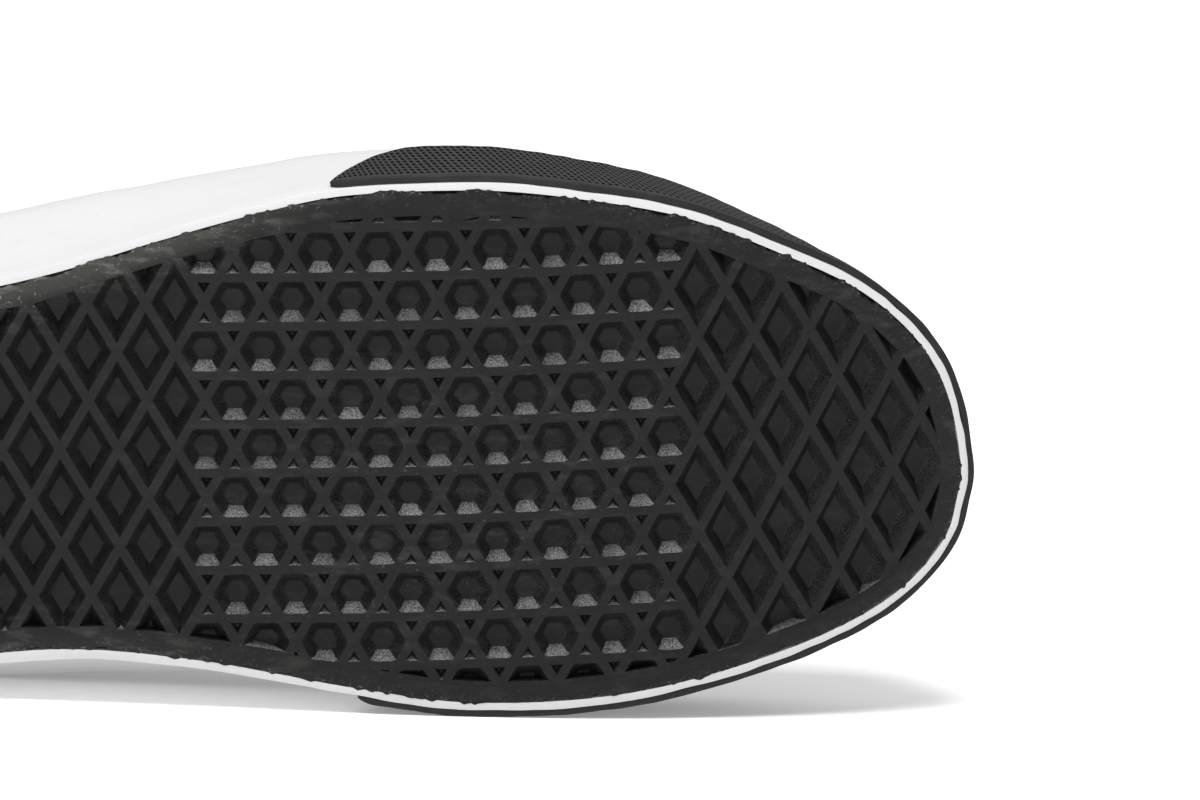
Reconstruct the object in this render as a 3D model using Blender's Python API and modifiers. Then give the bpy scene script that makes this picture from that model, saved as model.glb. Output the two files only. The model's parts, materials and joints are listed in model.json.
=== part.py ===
# Skateboarding shoe, right foot, lying on its medial side with the tread facing -Y.
# Everything is first modelled standing: +X to the toe, +Y to the medial side, +Z up, in metres.
# The sole is laid out flat and then bent up along its toe spring, together with the forefoot.
import math

import bmesh
import bpy
import numpy as np
from mathutils import Matrix, Vector
from mathutils.geometry import interpolate_bezier

# Driving sizes
SOLE_LENGTH = 0.2921  # along the tread, heel to toe
BALL_WIDTH = 0.1064  # of the rubber outsole alone
FLAT_LENGTH = 0.1618  # of the tread that lies flat, from the heel
SPRING_RADIUS = 0.336  # of the forefoot's upward curve
OUTSOLE_THICKNESS = 0.0062
GAP = 0.0003  # between pieces that touch
OVERLAY_GAP = 0.0006  # between curved sheets that touch
CAP_GAP = 0.0012  # under the toe cap, whose surface is bent both ways

TAPE_THICKNESS = 0.0015
TAPE_HEIGHT = 0.028
TAPE_TOE_HEIGHT = 0.0255
BUMPER_THICKNESS = 0.00125
BUMPER_HEIGHT = 0.0240
BUMPER_LATERAL_END = 0.163  # from the heel, along the sole
BUMPER_MEDIAL_END = 0.1675
BUMPER_END_SWEEP = 0.020  # length over which an end rises to full height
PATCH_WIDTH = 0.034
PATCH_HEIGHT = 0.013
PATCH_THICKNESS = 0.0012
PATCH_FOOT = 0.0085  # height of its lower edge

TREAD_PITCH = 0.0117  # between the centres of neighbouring cells
TREAD_ORIGIN = (0.1430, -0.0400)  # centre of one cell, along the sole and across it
TREAD_DEPTH = 0.0028
TREAD_RIDGE = 0.0016  # width of a ridge where it meets the ground
TREAD_DRAFT = 0.0021  # how far a cell's wall leans in over its depth
TREAD_RIM = 0.0052  # smooth band round the tread
HEX_ZONE = (0.1360, 0.2319)  # ball zone with six-sided cells, from the heel

WALL = 0.0024  # of the upper
COLLAR_WALL = 0.0075  # where the collar is padded
WALL_HEIGHT = 0.028  # where the sides of the upper are widest
BULGE = 0.0050  # pull of the soft upper outward above the foxing tape
INSTEP_HEIGHT = 0.083  # top of the throat above the ground
INSOLE_THICKNESS = 0.0055
OVERLAY = 0.0013  # suede laid over the upper
TONGUE_THICKNESS = 0.0045
TONGUE_LENGTH_ABOVE = 0.030  # beyond the top of the throat
TONGUE_LAP = 0.016  # under each side of the throat
TONGUE_CLEARANCE = 0.0014  # beside the padded collar
TONGUE_RISE = 0.001  # of its middle over the throat
EYELET_PAIRS = 6
EYELET_HOLE = 0.0020  # radius
EYELET_RIM = 0.0038  # radius
EYELET_THICKNESS = 0.0008
EYELET_INSET = 0.0095  # from the throat's edge
EYELET_LIFT = 0.0007  # of the flat ring over the curved suede
LACE_WIDTH = 0.0075
LACE_THICKNESS = 0.0014
LACE_LIFT = 0.0008  # over the flat eyelets

COLUMNS = 44  # round the upper
BAND_COLUMNS = 2 * COLUMNS  # round the rubber bands
WALL_ROWS = 2
CROWN_ROWS = 9

# Outline of the outsole, from the toe tip along the lateral side to the heel, and back along the medial side.
# Columns: share of SOLE_LENGTH from the heel, share of BALL_WIDTH from the axis.
LATERAL_EDGE = (
    (1.000, 0.012), (0.990, -0.123), (0.966, -0.238), (0.924, -0.343), (0.866, -0.429), (0.801, -0.508),
    (0.728, -0.555), (0.658, -0.579), (0.570, -0.575), (0.505, -0.539), (0.434, -0.485), (0.364, -0.426),
    (0.291, -0.387), (0.188, -0.374), (0.110, -0.343), (0.050, -0.268), (0.012, -0.145), (0.000, 0.000),
)
MEDIAL_EDGE = (
    (0.012, 0.145), (0.050, 0.268), (0.110, 0.337), (0.188, 0.350), (0.291, 0.319), (0.378, 0.305),
    (0.466, 0.330), (0.567, 0.384), (0.655, 0.420), (0.761, 0.414), (0.865, 0.356), (0.942, 0.276),
    (0.985, 0.175), (0.998, 0.080),
)

# How far the side wall leans out between the outsole and WALL_HEIGHT.
# Columns: share of SOLE_LENGTH, lateral lean, medial lean, both as shares of WALL_HEIGHT.
LEAN = (
    (1.00, -0.05, -0.05), (0.80, -0.03, -0.03), (0.68, 0.00, 0.02), (0.58, 0.01, 0.08),
    (0.52, 0.04, 0.18), (0.44, 0.12, 0.31), (0.37, 0.21, 0.36), (0.30, 0.22, 0.34),
    (0.20, 0.14, 0.22), (0.10, 0.05, 0.10), (0.00, 0.05, 0.05),
)

# Ribs of the upper from the toe tip to the back of the heel, the same on both sides.
# Columns: foot of the rib (share of SOLE_LENGTH), then its top on the throat or collar edge: place along (share of
# SOLE_LENGTH), half-width there (share of BALL_WIDTH), height (share of INSTEP_HEIGHT). Then its shape: rise of the
# wall and drop below the top (shares of INSTEP_HEIGHT), reach from the top (share of the way out to the wall).
RIBS = (
    (1.000, 0.690, 0.000, 0.640, 0.19, 0.12, 0.42),
    (0.985, 0.689, 0.035, 0.642, 0.19, 0.12, 0.42),
    (0.950, 0.683, 0.070, 0.650, 0.19, 0.11, 0.44),
    (0.880, 0.664, 0.096, 0.676, 0.19, 0.10, 0.46),
    (0.800, 0.635, 0.110, 0.716, 0.19, 0.09, 0.48),
    (0.710, 0.594, 0.122, 0.775, 0.19, 0.09, 0.48),
    (0.630, 0.548, 0.132, 0.842, 0.18, 0.11, 0.45),
    (0.550, 0.499, 0.146, 0.914, 0.17, 0.14, 0.42),
    (0.470, 0.448, 0.162, 0.985, 0.16, 0.18, 0.36),
    (0.420, 0.414, 0.192, 0.965, 0.15, 0.22, 0.28),
    (0.360, 0.368, 0.243, 0.858, 0.14, 0.18, 0.22),
    (0.280, 0.290, 0.283, 0.768, 0.14, 0.14, 0.18),
    (0.180, 0.188, 0.283, 0.768, 0.14, 0.16, 0.14),
    (0.090, 0.098, 0.235, 0.850, 0.15, 0.20, 0.12),
    (0.030, 0.040, 0.125, 0.935, 0.17, 0.22, 0.10),
    (0.000, 0.024, 0.000, 0.960, 0.18, 0.22, 0.10),
)
TOP_CENTRE = ((0.0, 0.0), (0.40, 0.0), (0.70, -0.030), (1.0, -0.030))  # of the throat, share of BALL_WIDTH

MATERIALS = {
    # name: (colour, roughness, metallic)
    "black_rubber": ((0.018, 0.018, 0.020), 0.65, 0.0),
    "white_rubber": ((0.80, 0.80, 0.79), 0.55, 0.0),
    "black_bumper": ((0.022, 0.022, 0.024), 0.70, 0.0),
    "black_canvas": ((0.020, 0.020, 0.022), 0.95, 0.0),
    "black_suede": ((0.028, 0.027, 0.029), 0.97, 0.0),
    "insole_fabric": ((0.05, 0.05, 0.055), 0.90, 0.0),
    "white_lace": ((0.78, 0.78, 0.76), 0.90, 0.0),
    "eyelet_metal": ((0.03, 0.03, 0.03), 0.40, 1.0),
}
DENSITY = {"black_rubber": 1150.0, "white_rubber": 1150.0, "black_bumper": 1150.0}
CLOTH_DENSITY = 450.0


# Curves


def smooth_through(knots, values, at):
    """Cubic through the values that never overshoots between two knots."""
    x, y = np.asarray(knots, float), np.asarray(values, float)
    step = np.diff(x)
    slope = np.diff(y) / step
    tangent = np.zeros_like(y)
    same_way = slope[1:] * slope[:-1] > 0
    w1, w2 = 2 * step[1:] + step[:-1], step[1:] + 2 * step[:-1]
    with np.errstate(divide="ignore", invalid="ignore"):
        mean = (w1 + w2) / (w1 / slope[:-1] + w2 / slope[1:])
    tangent[1:-1] = np.where(same_way, mean, 0.0)
    tangent[0], tangent[-1] = slope[0], slope[-1]
    at = np.asarray(at, float)
    k = np.clip(np.searchsorted(x, at, side="right") - 1, 0, len(x) - 2)
    t = (at - x[k]) / step[k]
    return (
        y[k] * (1 + 2 * t) * (1 - t) ** 2
        + y[k + 1] * t**2 * (3 - 2 * t)
        + step[k] * t * (1 - t) * (tangent[k] * (1 - t) - tangent[k + 1] * t)
    )


def closed_spline(points, per_span):
    """Catmull-Rom curve through a ring of points."""
    ring = np.asarray(points, float)
    before, after, beyond = np.roll(ring, 1, 0), np.roll(ring, -1, 0), np.roll(ring, -2, 0)
    t = np.linspace(0, 1, per_span, endpoint=False)[:, None, None]
    curve = 0.5 * (
        2 * ring
        + (after - before) * t
        + (2 * before - 5 * ring + 4 * after - beyond) * t**2
        + (3 * ring - before - 3 * after + beyond) * t**3
    )
    return curve.transpose(1, 0, 2).reshape(-1, 2)


# The outline is followed by p: 0 at the toe tip, along the lateral side, past the heel, back to 1 at the toe tip.
EDGE = closed_spline(
    [(along * SOLE_LENGTH, out * BALL_WIDTH) for along, out in LATERAL_EDGE + MEDIAL_EDGE], 24
)
EDGE_STEPS = np.linalg.norm(np.roll(EDGE, -1, 0) - EDGE, axis=1)
EDGE_LENGTH = EDGE_STEPS.sum()
EDGE_P = np.concatenate([[0], np.cumsum(EDGE_STEPS)]) / EDGE_LENGTH
EDGE_RING = np.vstack([EDGE, EDGE[:1]])
HEEL_P = EDGE_P[np.argmin(EDGE_RING[:, 0])]


def edge_point(p):
    """Place (along the sole, across it) on the outsole's edge."""
    p = np.mod(p, 1.0)
    return np.stack([np.interp(p, EDGE_P, EDGE_RING[:, k]) for k in (0, 1)], -1)


def edge_normal(p):
    """Outward direction in the plane of the sole."""
    reach = 0.004
    ahead = edge_point(np.asarray(p) + reach) - edge_point(np.asarray(p) - reach)
    normal = np.stack([-ahead[..., 1], ahead[..., 0]], -1)
    return normal / np.linalg.norm(normal, axis=-1, keepdims=True)


def edge_at(along, medial):
    """p where the outline is this far along the sole, as a share of its length."""
    half = EDGE_P >= HEEL_P if medial else EDGE_P <= HEEL_P
    stations, places = EDGE_RING[half, 0] / SOLE_LENGTH, EDGE_P[half]
    order = np.argsort(stations)
    return float(np.interp(along, stations[order], places[order]))


def places_round(count):
    """Places along the outline, closer together round the toe and the heel."""
    samples = np.linspace(0, 1, 721)
    near_toe = np.minimum(samples, 1 - samples)
    near_heel = np.abs(samples - HEEL_P)
    weight = 1 + 0.9 * np.exp(-((near_toe / 0.10) ** 2)) + 0.9 * np.exp(-((near_heel / 0.09) ** 2))
    run = np.concatenate([[0], np.cumsum((weight[1:] + weight[:-1]) / 2)])
    return np.interp(np.arange(count) / count, run / run[-1], samples)


def between(start, end, count):
    """The places from start to end, with the two ends."""
    p = places_round(count)
    p = np.concatenate([p - 1, p])
    clear = 0.3 / count
    inside = p[(p > min(start, end) + clear) & (p < max(start, end) - clear)]
    return np.concatenate([[start], inside if start < end else inside[::-1], [end]])


def offset_ring(count, out):
    """Points of the outline moved outward."""
    p = places_round(count)
    return edge_point(p) + out * edge_normal(p)


def sprung(points):
    """Bends flat-laid points (along, across, height) up along the toe spring."""
    flat = np.asarray(points, float)
    turn = np.maximum(flat[..., 0] - FLAT_LENGTH, 0) / SPRING_RADIUS
    along = np.where(turn > 0, FLAT_LENGTH + SPRING_RADIUS * np.sin(turn), flat[..., 0])
    up = SPRING_RADIUS * (1 - np.cos(turn))
    height = flat[..., 2]
    return np.stack([along - height * np.sin(turn), flat[..., 1], up + height * np.cos(turn)], -1)


# Surface of the upper

LEAN_P = np.array(
    [edge_at(row[0], False) for row in LEAN] + [edge_at(row[0], True) for row in LEAN[-2:0:-1]]
)
LEAN_P[0], LEAN_P[len(LEAN) - 1] = 0.0, HEEL_P
LEAN_OUT = np.array([row[1] for row in LEAN] + [row[2] for row in LEAN[-2:0:-1]])
RIB_P = np.array(
    [edge_at(row[0], False) for row in RIBS] + [edge_at(row[0], True) for row in RIBS[-2:0:-1]]
)
RIB_P[0], RIB_P[len(RIBS) - 1] = 0.0, HEEL_P
RIB_SIDE = np.array([-1.0] * len(RIBS) + [1.0] * (len(RIBS) - 2))
RIB_ROWS = np.array(RIBS + RIBS[-2:0:-1])


def round_table(places, values, p):
    """Smooth value at p of a column that runs right round the outline."""
    places = np.concatenate([places[-3:] - 1, places, places[:3] + 1])
    values = np.concatenate([values[-3:], values, values[:3]])
    return smooth_through(places, values, np.mod(p, 1.0))


BOTTOM = OUTSOLE_THICKNESS + 1.5 * GAP  # lower edge of the upper


def wall_lean(p, height):
    """How far the side of the upper stands outside the outsole's edge."""
    share = np.clip((height - BOTTOM) / (WALL_HEIGHT - BOTTOM), 0, 1)
    return WALL_HEIGHT * round_table(LEAN_P, LEAN_OUT, p) * np.sin(share * math.pi / 2)


def wall_point(p, height, out=0.0):
    """Point on the side wall, standing out by some distance, before the toe spring."""
    flat = edge_point(p) + edge_normal(p) * (wall_lean(p, height) + out)[..., None]
    return np.concatenate([flat, np.broadcast_to(height, flat.shape[:-1])[..., None]], -1)


def crown_point(p, b):
    """Point of a rib above the wall, before the toe spring. b runs from 0 at WALL_HEIGHT to 1 at the top edge."""
    p, b = np.broadcast_arrays(np.asarray(p, float), np.asarray(b, float))
    column = {
        name: round_table(RIB_P, RIB_ROWS[:, k], p)
        for k, name in enumerate(("foot", "along", "out", "height", "rise", "drop", "reach"))
    }
    side = round_table(RIB_P, RIB_SIDE * RIB_ROWS[:, 2], p)
    centre = np.interp(column["along"], *zip(*TOP_CENTRE)) * BALL_WIDTH
    top = np.stack(
        [column["along"] * SOLE_LENGTH, side * BALL_WIDTH + centre, column["height"] * INSTEP_HEIGHT], -1
    )
    foot = wall_point(p, np.full(p.shape, WALL_HEIGHT), np.full(p.shape, -GAP))
    up = np.zeros_like(top)
    up[..., 2] = INSTEP_HEIGHT
    away = foot - top
    away[..., 2] = 0
    outward = np.concatenate([edge_normal(p), np.zeros((*p.shape, 1))], -1)
    first = foot + up * column["rise"][..., None] + outward * BULGE
    second = top + away * column["reach"][..., None] - up * column["drop"][..., None]
    b = b[..., None]
    return (
        foot * (1 - b) ** 3 + 3 * first * b * (1 - b) ** 2 + 3 * second * b**2 * (1 - b) + top * b**3
    )


def skin_flat(p, b):
    """Outer surface of the upper before the toe spring. b runs from -1 at its lower edge, past 0, to 1 at the top edge."""
    p, b = np.broadcast_arrays(np.asarray(p, float), np.asarray(b, float))
    height = BOTTOM + (WALL_HEIGHT - BOTTOM) * (1 + np.minimum(b, 0))
    low = wall_point(p, height, np.full(p.shape, -GAP))
    return np.where((b < 0)[..., None], low, crown_point(p, np.maximum(b, 0)))


def skin(p, b, out=0.0):
    """Outer surface of the upper, moved outward along its normal."""
    step = 0.002
    p, b = np.broadcast_arrays(np.asarray(p, float), np.asarray(b, float))
    here = sprung(skin_flat(p, b))
    if np.all(np.asarray(out) == 0):
        return here
    round_way = sprung(skin_flat(p + step, b)) - sprung(skin_flat(p - step, b))
    up_way = sprung(skin_flat(p, np.minimum(b + step, 1))) - sprung(skin_flat(p, np.maximum(b - step, -1)))
    normal = np.cross(up_way, round_way)
    normal /= np.linalg.norm(normal, axis=-1, keepdims=True)
    return here + normal * np.asarray(out)[..., None]


def b_below_top(p, distance):
    """b at this distance below the top edge, measured along the rib."""
    samples = np.linspace(0, 1, 60)
    found = []
    for place, wanted in zip(np.atleast_1d(p), np.broadcast_to(distance, np.atleast_1d(p).shape)):
        rib = skin(np.full(60, place), samples)[::-1]
        run = np.concatenate([[0], np.cumsum(np.linalg.norm(np.diff(rib, axis=0), axis=1))])
        found.append(1 - np.interp(wanted, run, samples))
    return np.array(found)


# Blender objects

PARTS = []


def material(name):
    if name in bpy.data.materials:
        return bpy.data.materials[name]
    colour, roughness, metallic = MATERIALS[name]
    made = bpy.data.materials.new(name)
    made.use_nodes = True
    shader = made.node_tree.nodes["Principled BSDF"]
    shader.inputs["Base Color"].default_value = (*colour, 1)
    shader.inputs["Roughness"].default_value = roughness
    shader.inputs["Metallic"].default_value = metallic
    return made


def keep(obj, finish):
    """Puts an object in the shoe's collection with its material."""
    for old in list(obj.users_collection):
        old.objects.unlink(obj)
    shoe.objects.link(obj)
    obj.data.materials.clear()
    obj.data.materials.append(material(finish))
    obj.data.shade_smooth()
    obj.data.set_sharp_from_angle(angle=math.radians(40))
    PARTS.append(obj)
    return obj


def mesh_object(name, mesh):
    obj = bpy.data.objects.new(name, mesh)
    bpy.context.scene.collection.objects.link(obj)
    return obj


def grid_mesh(name, grid, wrap=False):
    """Sheet of quads over a grid of points: rows across, columns round."""
    rows, columns = grid.shape[:2]
    index = np.arange(rows * columns).reshape(rows, columns)
    last = columns if wrap else columns - 1
    faces = [
        (index[r, c], index[r + 1, c], index[r + 1, (c + 1) % columns], index[r, (c + 1) % columns])
        for r in range(rows - 1)
        for c in range(last)
    ]
    mesh = bpy.data.meshes.new(name)
    mesh.from_pydata(grid.reshape(-1, 3).tolist(), [], [[int(k) for k in f] for f in faces])
    return mesh


def thicken(obj, thickness, group=None, least=1.0):
    """Solidify, growing inward where the thickness is negative."""
    solid = obj.modifiers.new("wall", "SOLIDIFY")
    solid.thickness = abs(thickness)
    solid.offset = 1.0 if thickness > 0 else -1.0
    solid.use_even_offset = True
    if group:
        solid.vertex_group = group
        solid.thickness_vertex_group = least
    return solid


def sheet(name, grid, thickness, finish, wrap=False):
    """A curved sheet of even thickness, grown outward from a grid of points."""
    obj = mesh_object(name, grid_mesh(name, grid, wrap))
    thicken(obj, thickness)
    return keep(obj, finish)


def evaluated(obj, name):
    """The object's finished mesh as a new mesh."""
    bpy.context.view_layer.update()
    graph = bpy.context.evaluated_depsgraph_get()
    mesh = bpy.data.meshes.new_from_object(obj.evaluated_get(graph))
    mesh.name = name
    return mesh


def flat_plate(name, ring, bottom, top):
    """A flat outline with thickness, made from a filled curve, as a closed mesh."""
    curve = bpy.data.curves.new(name, "CURVE")
    curve.dimensions = "2D"
    curve.fill_mode = "BOTH"
    curve.extrude = (top - bottom) / 2
    line = curve.splines.new("POLY")
    line.points.add(len(ring) - 1)
    for point, (x, y) in zip(line.points, ring):
        point.co = (x, y, 0, 1)
    line.use_cyclic_u = True
    guide = mesh_object(name, curve)
    mesh = evaluated(guide, name)
    bpy.data.objects.remove(guide)
    plate = bmesh.new()
    plate.from_mesh(mesh)
    bmesh.ops.remove_doubles(plate, verts=plate.verts, dist=1e-6)
    bmesh.ops.translate(plate, verts=plate.verts, vec=(0, 0, (top + bottom) / 2))
    bmesh.ops.recalc_face_normals(plate, faces=plate.faces)
    plate.to_mesh(mesh)
    plate.free()
    return mesh


def boolean(obj, cutter, operation):
    cut = obj.modifiers.new(operation.lower(), "BOOLEAN")
    cut.operation = operation
    cut.object = cutter
    return cut


def as_cutter(obj):
    for old in list(obj.users_collection):
        old.objects.unlink(obj)
    cutters.objects.link(obj)
    obj.hide_render = True
    obj.display_type = "WIRE"
    return obj


# Pieces


def tread_cells():
    """Centre of each tread cell that lies inside the rim, and whether it has six sides."""
    row_step = TREAD_PITCH * math.sqrt(3) / 2
    ring = offset_ring(120, -TREAD_RIM)
    cells = []
    rows = int(BALL_WIDTH / row_step) + 1
    columns = int(SOLE_LENGTH / TREAD_PITCH) + 1
    for row in range(-rows, rows + 1):
        for column in range(-columns, columns + 1):
            centre = Vector(
                (
                    TREAD_ORIGIN[0] + (column + (row % 2) / 2) * TREAD_PITCH,
                    TREAD_ORIGIN[1] + row * row_step,
                )
            )
            inside = winding(ring, centre) and nearest(ring, centre) > TREAD_PITCH * 0.24
            if inside:
                cells.append((centre, HEX_ZONE[0] < centre.x < HEX_ZONE[1]))
    return cells


def winding(ring, point):
    """Whether a point lies inside a ring."""
    x, y = point[0], point[1]
    ahead = np.roll(ring, -1, 0)
    crosses = (ring[:, 1] > y) != (ahead[:, 1] > y)
    with np.errstate(divide="ignore", invalid="ignore"):
        at = ring[:, 0] + (y - ring[:, 1]) * (ahead[:, 0] - ring[:, 0]) / (ahead[:, 1] - ring[:, 1])
    return int((crosses & (at > x)).sum()) % 2 == 1


def nearest(ring, point):
    return float(np.hypot(ring[:, 0] - point[0], ring[:, 1] - point[1]).min())


def tread_cutter():
    """Every cell as a tapered peg, cut off at the rim."""
    overshoot = 0.0004  # below the ground, so that the cut is clean
    slope = TREAD_DRAFT / TREAD_DEPTH
    apothem = TREAD_PITCH * math.sqrt(3) / 4 - TREAD_RIDGE / 2  # of a six-sided cell's mouth
    half = TREAD_PITCH / 2 - TREAD_RIDGE / 2 / math.cos(math.pi / 6)  # of a diamond's mouth
    pegs = bmesh.new()
    for centre, six_sided in tread_cells():
        middle = Matrix.Translation((*centre, (TREAD_DEPTH - overshoot) / 2))
        corner = 1 / math.cos(math.pi / 6)
        if six_sided:
            turn = Matrix.Rotation(math.pi / 6, 4, "Z")
            sides, mouth = 6, apothem
        else:
            turn = Matrix.Diagonal((1, math.sqrt(3), 1, 1))
            sides, mouth = 4, half
        bmesh.ops.create_cone(
            pegs,
            cap_ends=True,
            segments=sides,
            radius1=(mouth + overshoot * slope) * corner if six_sided else mouth + overshoot * slope * corner,
            radius2=(mouth - TREAD_DRAFT) * corner if six_sided else mouth - TREAD_DRAFT * corner,
            depth=TREAD_DEPTH + overshoot,
            matrix=middle @ turn,
        )
    mesh = bpy.data.meshes.new("tread_cells")
    bmesh.ops.recalc_face_normals(pegs, faces=pegs.faces)
    pegs.to_mesh(mesh)
    pegs.free()
    cutter = as_cutter(mesh_object("tread_cells", mesh))
    rim = as_cutter(mesh_object("tread_rim", flat_plate("tread_rim", offset_ring(90, -TREAD_RIM), -0.01, 0.01)))
    boolean(cutter, rim, "INTERSECT")
    return cutter


def sprung_plate(mesh, top):
    """Merges the flat faces of a plate, cuts its upper face into strips and bends it along the toe spring."""
    plate = bmesh.new()
    plate.from_mesh(mesh)
    bmesh.ops.remove_doubles(plate, verts=plate.verts, dist=2e-6)
    bmesh.ops.dissolve_limit(plate, angle_limit=math.radians(0.3), verts=plate.verts, edges=plate.edges)
    for cut in np.arange(FLAT_LENGTH, SOLE_LENGTH, 0.011):
        flat = [f for f in plate.faces if all(abs(v.co.z - top) < 1e-6 for v in f.verts)]
        near = set(flat) | {e for f in flat for e in f.edges} | {v for f in flat for v in f.verts}
        bmesh.ops.bisect_plane(plate, geom=list(near), plane_co=(cut, 0, 0), plane_no=(1, 0, 0))
    bmesh.ops.triangulate(plate, faces=plate.faces)
    plate.to_mesh(mesh)
    plate.free()
    flat = np.array([v.co for v in mesh.vertices], float)
    for vertex, place in zip(mesh.vertices, sprung(flat)):
        vertex.co = place


def outsole():
    ring = offset_ring(BAND_COLUMNS, 0.0)
    slab = mesh_object("outsole_slab", flat_plate("outsole_slab", ring, 0, OUTSOLE_THICKNESS))
    boolean(slab, tread_cutter(), "DIFFERENCE")
    mesh = evaluated(slab, "outsole")
    bpy.data.objects.remove(slab)
    sprung_plate(mesh, OUTSOLE_THICKNESS)
    return keep(mesh_object("outsole", mesh), "black_rubber")


def ring_grid(p, profile):
    """Loop of section points at each p. The profile gives (height, outward) pairs for an array of p."""
    return np.stack([sprung(wall_point(p, height, out)) for height, out in profile(p)])


def band(name, p, profile, finish, wrap):
    """A rubber band round the wall, with a closed section."""
    grid = ring_grid(p, profile)
    grid = np.concatenate([grid, grid[:1]])
    mesh = grid_mesh(name, grid, wrap)
    body = bmesh.new()
    body.from_mesh(mesh)
    bmesh.ops.remove_doubles(body, verts=body.verts, dist=1e-6)
    if not wrap:
        bmesh.ops.holes_fill(body, edges=[e for e in body.edges if e.is_boundary])
    bmesh.ops.recalc_face_normals(body, faces=body.faces)
    body.to_mesh(mesh)
    body.free()
    return keep(mesh_object(name, mesh), finish)


def tape_height(p):
    """Height of the foxing tape, a little lower round the toe."""
    along = edge_point(p)[..., 0] / SOLE_LENGTH
    return TAPE_TOE_HEIGHT + (TAPE_HEIGHT - TAPE_TOE_HEIGHT) * np.clip((0.95 - along) / 0.35, 0, 1)


def foxing_tape():
    bevel = 0.0004

    def profile(p):
        top = tape_height(p)
        inner = np.full(p.shape, GAP)
        outer = np.full(p.shape, GAP + TAPE_THICKNESS)
        foot = np.zeros(p.shape)
        low = np.full(p.shape, BOTTOM)
        middle = np.full(p.shape, (BOTTOM + WALL_HEIGHT) / 2)
        return (
            (foot, inner), (foot, outer - bevel), (foot + bevel, outer), (low, outer), (middle, outer),
            (top - bevel, outer), (top, outer - bevel), (top, inner), (middle, inner), (low, inner),
        )

    return band("foxing_tape", places_round(BAND_COLUMNS), profile, "white_rubber", True)


BUMPER_LIFT = 0.0005  # of the bumper's lower edge above the ground
TAPE_OUT = GAP + TAPE_THICKNESS


def toe_bumper():
    first = edge_at(BUMPER_LATERAL_END / SOLE_LENGTH, False)
    last = edge_at(BUMPER_MEDIAL_END / SOLE_LENGTH, True) - 1
    ends = np.array([0.0, 0.0015, 0.0045, 0.009]) / EDGE_LENGTH
    place = between(last + ends[-1], first - ends[-1], BAND_COLUMNS)
    place = np.concatenate([last + ends[:-1], place, first - ends[-2::-1]])
    bevel = 0.0004

    def profile(p):
        from_end = np.minimum(p - last, first - p) * EDGE_LENGTH
        sweep = np.sin(np.clip(from_end / BUMPER_END_SWEEP, 0, 1) * math.pi / 2)
        top = BUMPER_LIFT + 0.0016 + (BUMPER_HEIGHT - BUMPER_LIFT - 0.0016) * sweep
        inner = np.full(p.shape, TAPE_OUT + GAP)
        outer = inner + BUMPER_THICKNESS
        foot = np.full(p.shape, BUMPER_LIFT)
        low = np.minimum(BOTTOM, foot + 0.4 * (top - foot))
        middle = np.minimum((BOTTOM + WALL_HEIGHT) / 2, foot + 0.7 * (top - foot))
        return (
            (foot, inner), (foot, outer - bevel), (foot + bevel, outer), (low, outer), (middle, outer),
            (top - bevel, outer), (top, outer - bevel), (top, inner), (middle, inner), (low, inner),
        )

    return band("toe_bumper", place, profile, "black_bumper", False)


def heel_patch():
    """Plain rubber plate on the tape at the back of the heel."""
    reach = PATCH_WIDTH / 2 / EDGE_LENGTH
    p = between(HEEL_P - reach, HEEL_P + reach, BAND_COLUMNS)

    def profile(p):
        inner = np.full(p.shape, TAPE_OUT + GAP)
        outer = inner + PATCH_THICKNESS
        foot = np.full(p.shape, PATCH_FOOT)
        return (foot, inner), (foot, outer), (foot + PATCH_HEIGHT, outer), (foot + PATCH_HEIGHT, inner)

    return band("heel_patch", p, profile, "black_rubber", False)


def eyelet_places():
    """(p, b) of each eyelet, by side, from the front of the throat to its top."""
    places = {}
    for side, medial in (("lateral", False), ("medial", True)):
        tries = np.linspace(edge_at(0.86, medial), edge_at(0.475, medial), 80)
        top = skin(tries, np.ones(80))
        run = np.concatenate([[0], np.cumsum(np.linalg.norm(np.diff(top, axis=0), axis=1))])
        p = np.interp(np.linspace(0, run[-1], EYELET_PAIRS), run, tries)
        places[side] = list(zip(p, b_below_top(p, EYELET_INSET)))
    return places


def eyelet_frame(p, b, out):
    """Place and axes of an eyelet: X along the throat, Z outward."""
    step = 0.001
    here = skin(p, b, out)
    outward = skin(p, b, out + 0.001) - here
    along = skin(p + step, b_below_top(p + step, EYELET_INSET)[0], out) - here
    z = Vector(outward.tolist()).normalized()
    x = Vector(along.tolist())
    x = (x - z * x.dot(z)).normalized()
    frame = Matrix((x, z.cross(x), z)).transposed().to_4x4()
    frame.translation = Vector(here.tolist())
    return frame


def eyelet_cutter():
    drill = bmesh.new()
    for places in eyelet_places().values():
        for p, b in places:
            bmesh.ops.create_cone(
                drill, cap_ends=True, segments=10, radius1=EYELET_HOLE, radius2=EYELET_HOLE,
                depth=0.02, matrix=eyelet_frame(p, b, OVERLAY),
            )
    mesh = bpy.data.meshes.new("eyelet_drill")
    drill.to_mesh(mesh)
    drill.free()
    return as_cutter(mesh_object("eyelet_drill", mesh))


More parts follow.
